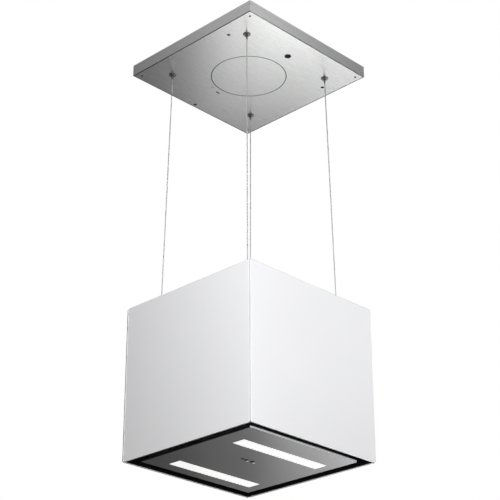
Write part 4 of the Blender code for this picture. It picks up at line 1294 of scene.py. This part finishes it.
def grease_filter():
    """Aluminium cassette: its frame and three nets of expanded metal."""
    refinish("Soft aluminium", "filter_frame")
    inside = bpy.context.scene.hood_inside
    low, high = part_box("filter_mesh")
    half = high.x - 0.0002
    lower = expanded_metal(low.z + 0.0008, half, inside.mesh_pitch, 0.0)
    piece("filter_net_lower", lower, "Stretched aluminium", "hood", ["filter_mesh"])
    upper = expanded_metal(high.z - 0.0014, half, inside.mesh_pitch, math.pi / 2)
    piece("filter_net_upper", upper, "Stretched aluminium", "hood")
    middle = expanded_metal((low.z + high.z) / 2, half, inside.mesh_pitch * 1.5, 0.0)
    piece("filter_net_middle", middle, "Stretched aluminium", "hood")


def filter_catch():
    """Sliding latch with a ribbed finger grip."""
    low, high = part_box("filter_latch")
    top = high.z - 0.002
    bm = bmesh.new()
    add_box(bm, (low.x, low.y, top), (high.x, high.y, high.z), 0.0005, 3)
    grip_front = -0.1315
    add_box(bm, (low.x + 0.001, grip_front, low.z),
            (high.x - 0.001, grip_front + 0.003, top + 0.001), 0.0006, 3)
    for rib in range(5):
        z = low.z + 0.0012 + rib * 0.0011
        add_box(bm, (low.x + 0.004, grip_front - 0.0003, z),
                (high.x - 0.004, grip_front + 0.0005, z + 0.0005), 0.0001, 1)
    piece("latch_slide", bm, "Moulded black", "latch", ["filter_latch"])


# ---------------------------------------------------------------- blower


def fan_wheel():
    """Two-sided wheel: hub and disc, rolled end rings and thin forward-curved blades."""
    inside = bpy.context.scene.hood_inside
    low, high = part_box("impeller")
    radius, half = (high.z - low.z) / 2, (high.x - low.x) / 2
    middle = (low + high) / 2
    hub = [(0.0043, -0.004), (0.012, -0.004), (0.0135, -0.0015), (radius - 0.003, -0.0008),
           (radius - 0.003, 0.0008), (0.0135, 0.0015), (0.012, 0.007), (0.0043, 0.007)]
    bm = turned(hub, 64, True)
    for level in (-half, half - 0.003):
        ring = turned([(radius - 0.0125, level), (radius, level), (radius, level + 0.003),
                       (radius - 0.0125, level + 0.003)], 96, True)
        soften(ring, 0.0008, 2)
        merge(bm, ring)
    blade_low, blade_high = -half + 0.001, half - 0.001
    for index in range(inside.blades):
        blade = bmesh.new()
        edge = [blade.verts.new((0.0, 0.0, z)) for z in (blade_low, blade_high)]
        edge.append(blade.edges.new(edge))
        bmesh.ops.spin(blade, geom=edge, cent=(0.0, 0.0066, 0.0), axis=(0, 0, 1),
                       angle=math.radians(80), steps=6)
        bmesh.ops.recalc_face_normals(blade, faces=blade.faces[:])
        bmesh.ops.solidify(blade, geom=blade.faces[:], thickness=0.0007)
        seat = (Matrix.Rotation(FULL_TURN * index / inside.blades, 4, "Z")
                @ Matrix.Translation((radius - 0.0115, 0.0, 0.0))
                @ Matrix.Rotation(math.radians(10), 4, "Z"))
        merge(bm, blade, seat)
    bm.transform(Matrix.Translation(middle) @ ALONG_X)
    piece("fan_wheel", bm, "Moulded black", "fan_wheel", ["impeller"])
    refinish("Ground shaft", "motor_shaft")


def motor():
    """Motor shell with end bells, vent ribs and a bearing boss."""
    low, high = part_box("motor_body")
    radius = (high.z - low.z) / 2
    axis = Matrix.Translation((0.0, (low.y + high.y) / 2, (low.z + high.z) / 2)) @ ALONG_X
    near, far, bore = low.x, high.x, 0.0045
    profile = [(0.0, 0.045), (bore, 0.045), (bore, near), (0.012, near), (0.0135, near + 0.0008),
               (0.0145, near + 0.003), (radius - 0.007, near + 0.0032),
               (radius - 0.002, near + 0.006), (radius, near + 0.009),
               (radius, near + 0.020), (radius - 0.001, near + 0.0204), (radius - 0.001, far - 0.020),
               (radius, far - 0.0196), (radius, far - 0.006), (radius - 0.002, far - 0.002),
               (radius - 0.005, far), (0.0, far)]
    bm = turned(profile, 64)
    slots = 20
    for index in range(slots):
        rib = bmesh.new()
        add_box(rib, (radius - 0.0016, -0.0022, near + 0.0215),
                (radius - 0.0002, 0.0022, far - 0.0215), 0.0005, 2)
        merge(bm, rib, Matrix.Rotation(FULL_TURN * index / slots, 4, "Z"))
    bm.transform(axis)
    piece("fan_motor", bm, "Motor shell", "hood", ["motor_body"])
    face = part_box("motor_bracket")[1].x
    places = []
    for degrees in (90, 210, 330):
        for reach in (0.026, 0.069):
            spin = math.radians(degrees)
            y = axis.translation.y + reach * math.cos(spin)
            places.append((face, y, axis.translation.z + reach * math.sin(spin)))
    screw_row("motor_screws", places, "hood", 0.0032, 0.0018, ALONG_X)
    refinish("Galvanised sheet", "motor_bracket", "blower_housing", "outlet_plenum", "hinge_bracket_left",
             "hinge_bracket_right")


# ---------------------------------------------------------------- electrics


def electrics():
    """Electronics box and lid with their screws, and the lamp driver with its ribs and terminals."""
    refinish("Galvanised sheet", "electronics_box", "electronics_lid")
    low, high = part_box("electronics_lid")
    places = [(x, y, low.z) for x in (low.x + 0.006, high.x - 0.006)
              for y in (low.y + 0.006, high.y - 0.006)]
    screw_row("lid_screws", places, "hood", 0.0026, 0.0014, LOOKING_DOWN)
    low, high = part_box("led_driver")
    bm = bmesh.new()
    add_box(bm, low, high, 0.0025, 4)
    for index in range(7):
        x = -0.036 + index * 0.012
        add_box(bm, (x - 0.0015, low.y + 0.008, low.z - 0.0008),
                (x + 0.0015, high.y - 0.008, low.z + 0.001), 0.0005, 2)
    piece("lamp_driver", bm, "Painted white", "hood", ["led_driver"])
    terminals = bmesh.new()
    for side in (-1, 1):
        end = side * (high.x + 0.004)
        for index in range(3):
            y = (low.y + high.y) / 2 + (index - 1) * 0.008
            spans = sorted((end - side * 0.0045, end + side * 0.004))
            add_box(terminals, (spans[0], y - 0.0035, low.z + 0.006),
                    (spans[1], y + 0.0035, low.z + 0.016), 0.0006, 2)
    piece("driver_terminals", terminals, "Moulded black", "hood")


# ---------------------------------------------------------------- stage


def studio_floor():
    """Pale seamless floor."""
    stage = bpy.context.scene.hood_stage
    made, tree, shader = principled("Studio floor", stage.floor_colour, 0.7)
    soft = noise(tree, place(tree), 0.8, 3.0)
    base = stage.floor_colour
    tint(tree, shader, soft, shade(base, 0.98), shade(base, 1.01), 0.3, 0.7)
    bm = bmesh.new()
    bmesh.ops.create_circle(bm, cap_ends=True, segments=96, radius=14.0,
                            matrix=Matrix.Translation((0, 0, stage.floor_level)))
    mesh = bpy.data.meshes.new("studio_floor")
    bm.to_mesh(mesh)
    bm.free()
    mesh.materials.append(made)
    floor = bpy.data.objects.new("studio_floor", mesh)
    bpy.context.scene.collection.objects.link(floor)


def surrounding_light():
    """White backdrop for the camera, and a soft light from all round that is weaker from below."""
    stage = bpy.context.scene.hood_stage
    world = bpy.data.worlds.new("Studio")
    world.use_nodes = True
    tree = world.node_tree
    tree.nodes.clear()
    direction = put(tree, "ShaderNodeTexCoord").outputs["Generated"]
    height = put(tree, "ShaderNodeSeparateXYZ", {"Vector": direction}).outputs["Z"]
    glow = vary(tree, height, stage.sky * 0.6, stage.sky, -0.3, 0.6)
    soft = put(tree, "ShaderNodeBackground", {"Strength": glow}).outputs["Background"]
    white = put(tree, "ShaderNodeBackground", {"Color": (1.0, 1.0, 1.0, 1.0)}).outputs["Background"]
    seen = put(tree, "ShaderNodeLightPath").outputs["Is Camera Ray"]
    mixed = put(tree, "ShaderNodeMixShader", {"Fac": seen})
    tree.links.new(soft, mixed.inputs[1])
    tree.links.new(white, mixed.inputs[2])
    put(tree, "ShaderNodeOutputWorld", {"Surface": mixed.outputs["Shader"]})
    bpy.context.scene.world = world


ON_SHEET = (0.0, 0.0, -0.03)
ON_BOX = (0.0, 0.0, -0.2)
ON_MIDDLE = (0.0, 0.0, -0.5)
ON_CUBE = (0.0, 0.0, -0.85)

# Square soft lights: name, position, point they are aimed at, side, power in watts.
STUDIO_LIGHTS = (
    ("left_high", (-1.10, -0.55, 0.20), ON_CUBE, 0.6, 8.2),
    ("left_middle", (-1.10, -0.55, -0.45), ON_CUBE, 0.6, 4.65),
    ("left_low", (-1.50, -1.10, -1.60), ON_CUBE, 0.6, 1.9),
    ("near_low", (-0.90, -0.90, -1.10), ON_CUBE, 0.6, 5.2),
    ("front_middle", (0.52, -1.50, -0.50), ON_CUBE, 0.6, 13.3),
    ("left_skirt", (-1.50, 1.30, 1.10), ON_BOX, 0.8, 0.67),
    ("left_skirt_near", (-1.70, 0.90, 1.10), ON_BOX, 0.8, 1.23),
    ("right_skirt", (1.30, -1.50, 1.10), ON_BOX, 0.8, 1.06),
    ("right_skirt_near", (0.90, -1.70, 1.10), ON_BOX, 0.8, 1.55),
    ("sheet_near", (0.70, 0.62, -1.04), ON_SHEET, 0.34, 0.33),
    ("sheet_middle", (1.00, 0.92, -1.04), ON_SHEET, 0.34, 0.195),
    ("sheet_glow", (0.76, 0.82, -0.70), ON_SHEET, 0.26, 0.054),
    ("low_near_left", (1.40, 1.35, -2.10), ON_MIDDLE, 0.5, 0.58),
    ("low_near", (1.85, 0.90, -2.10), ON_MIDDLE, 0.5, 6.1),
    ("low_middle", (1.85, 1.35, -2.10), ON_MIDDLE, 0.5, 1.95),
    ("low_far", (2.30, 2.70, -2.10), ON_MIDDLE, 0.5, 0.164),
    ("low_right", (3.20, 2.25, -2.10), ON_MIDDLE, 0.5, 1.31),
    ("low_far_right", (3.20, 2.70, -2.10), ON_MIDDLE, 0.5, 0.18),
    ("behind", (1.20, 2.60, 0.50), ON_CUBE, 1.2, 16.0),
)


def panel_light(name, position, target, side, power):
    """A square soft light aimed at a point."""
    lamp = bpy.data.lights.new(name, "AREA")
    lamp.shape = "SQUARE"
    lamp.size = side
    lamp.energy = power
    made = bpy.data.objects.new(name, lamp)
    made.location = position
    made.rotation_euler = (Vector(target) - Vector(position)).to_track_quat("-Z", "Y").to_euler()
    made.visible_camera = False
    bpy.context.scene.collection.objects.link(made)


def camera():
    """A long lens low before the near edge, looking up."""
    azimuth, elevation, roll = math.radians(45.725), math.radians(25.335), math.radians(-0.097)
    level = math.cos(elevation)
    ahead = Vector((math.sin(azimuth) * level, math.cos(azimuth) * level, math.sin(elevation)))
    right = ahead.cross(Vector((0, 0, 1))).normalized()
    above = right.cross(ahead)
    turn = Matrix((right, above, -ahead)).transposed() @ Matrix.Rotation(roll, 3, "Z")
    data = bpy.data.cameras.new("studio_camera")
    data.lens = 109.22
    data.sensor_width = 36.0
    data.clip_end = 60.0
    made = bpy.data.objects.new("studio_camera", data)
    made.matrix_world = Matrix.Translation((-2.32767, -2.27289, -2.05167)) @ turn.to_4x4()
    bpy.context.scene.collection.objects.link(made)
    bpy.context.scene.camera = made


# ---------------------------------------------------------------- operators


class HoodOperator:
    """Common part of the hood's operators: a step that fails stops the whole build."""

    bl_options = {"REGISTER", "UNDO"}

    def execute(self, context):
        if context.mode != "OBJECT":
            raise RuntimeError(f"{self.bl_label} needs Object Mode")
        self.build()
        return {"FINISHED"}


class HOOD_OT_stage(HoodOperator, bpy.types.Operator):
    """Add the studio floor, the soft lights and the camera"""

    bl_idname = "hood.stage"
    bl_label = "Studio"

    def build(self):
        stage = bpy.context.scene.hood_stage
        bpy.context.scene.view_settings.view_transform = "Standard"
        studio_floor()
        surrounding_light()
        for name, position, target, side, power in STUDIO_LIGHTS:
            panel_light(name, position, target, side, power * stage.lamps)
        camera()


class HOOD_OT_ceiling_box(HoodOperator, bpy.types.Operator):
    """Build the ceiling box: skirt, sheet, duct disc, marks and the bracket behind them"""

    bl_idname = "hood.ceiling_box"
    bl_label = "Ceiling box"

    def build(self):
        ceiling_skirt()
        ceiling_sheet()
        duct_disc()
        punched_marks()
        ceiling_back()


class HOOD_OT_ceiling_fittings(HoodOperator, bpy.types.Operator):
    """Build the wire anchors, the cable grommet and the sheet's screws"""

    bl_idname = "hood.ceiling_fittings"
    bl_label = "Ceiling fittings"

    def build(self):
        rubber_grommet()
        for index in range(1, 5):
            wire_anchor(index)
            sheet_screw(index)


class HOOD_OT_wires(HoodOperator, bpy.types.Operator):
    """Build the four stranded suspension wires"""

    bl_idname = "hood.wires"
    bl_label = "Suspension wires"

    def build(self):
        for index in range(1, 5):
            suspension_wire(index)


class HOOD_OT_glass_cube(HoodOperator, bpy.types.Operator):
    """Build the four panes and the tape that bonds them"""

    bl_idname = "hood.glass_cube"
    bl_label = "Glass cube"

    def build(self):
        for node in GLASS_NODES:
            glass_pane(node, node.replace("glass", "pane"))
        bond_tapes()


class HOOD_OT_chassis(HoodOperator, bpy.types.Operator):
    """Finish the chassis frames and add their screws"""

    bl_idname = "hood.chassis"
    bl_label = "Chassis"

    def build(self):
        chassis()


class HOOD_OT_top(HoodOperator, bpy.types.Operator):
    """Build the top cover, the wire grippers, the cable gland and the charcoal filter"""

    bl_idname = "hood.top"
    bl_label = "Top of the cube"

    def build(self):
        top_cover()
        gland_body()
        charcoal_cassette()
        for index in range(1, 5):
            wire_gripper(index)


class HOOD_OT_suction_panel(HoodOperator, bpy.types.Operator):
    """Build the drop-down suction panel with its lights, touch fields and hinge pins"""

    bl_idname = "hood.suction_panel"
    bl_label = "Suction panel"

    def build(self):
        panel_glass()
        panel_back()
        sensor_parts()
        for side, sign in (("left", -1), ("right", 1)):
            hinge_pin(side, sign)
        for side in ("front", "rear"):
            light_strip(side)
            lamp_board(side)
        for index, (x, radius) in enumerate(TOUCH_FIELDS, 1):
            touch_field(index, x, FIELD_ROW, radius)
        for index, x in enumerate(TOUCH_SIGNS, 1):
            touch_sign(index, x, SIGN_ROW)


class HOOD_OT_catch(HoodOperator, bpy.types.Operator):
    """Build the push catch with its plunger and spring"""

    bl_idname = "hood.catch"
    bl_label = "Panel catch"

    def build(self):
        catch()


class HOOD_OT_grease_filter(HoodOperator, bpy.types.Operator):
    """Build the grease filter's metal nets and its sliding latch"""

    bl_idname = "hood.grease_filter"
    bl_label = "Grease filter"

    def build(self):
        grease_filter()
        filter_catch()


class HOOD_OT_blower(HoodOperator, bpy.types.Operator):
    """Build the fan wheel and the motor, and finish the blower's sheet metal"""

    bl_idname = "hood.blower"
    bl_label = "Blower"

    def build(self):
        fan_wheel()
        motor()


class HOOD_OT_electrics(HoodOperator, bpy.types.Operator):
    """Build the lamp driver and the electronics covers"""

    bl_idname = "hood.electrics"
    bl_label = "Electrics"

    def build(self):
        electrics()


OPERATORS = (
    HOOD_OT_stage,
    HOOD_OT_ceiling_box,
    HOOD_OT_ceiling_fittings,
    HOOD_OT_wires,
    HOOD_OT_glass_cube,
    HOOD_OT_chassis,
    HOOD_OT_top,
    HOOD_OT_suction_panel,
    HOOD_OT_catch,
    HOOD_OT_grease_filter,
    HOOD_OT_blower,
    HOOD_OT_electrics,
)


class HOOD_PT_sidebar(bpy.types.Panel):
    """Steps and settings of the hood"""

    bl_idname = "HOOD_PT_sidebar"
    bl_label = "Island range hood"
    bl_space_type = "VIEW_3D"
    bl_region_type = "UI"
    bl_category = "Hood"

    def draw(self, context):
        for step in OPERATORS:
            self.layout.operator(step.bl_idname)
        for name, group in SETTINGS.items():
            box = self.layout.box()
            box.label(text=group.__doc__)
            for value in group.__annotations__:
                box.prop(getattr(context.scene, name), value)


def register():
    for group in (*SETTINGS.values(), *OPERATORS, HOOD_PT_sidebar):
        bpy.utils.register_class(group)
    for name, group in SETTINGS.items():
        setattr(bpy.types.Scene, name, PointerProperty(type=group))


def unregister():
    for name in SETTINGS:
        delattr(bpy.types.Scene, name)
    for group in reversed((*SETTINGS.values(), *OPERATORS, HOOD_PT_sidebar)):
        bpy.utils.unregister_class(group)


def main():
    register()
    for step in OPERATORS:
        group, name = step.bl_idname.split(".")
        getattr(getattr(bpy.ops, group), name)()


if __name__ == "__main__":
    main()
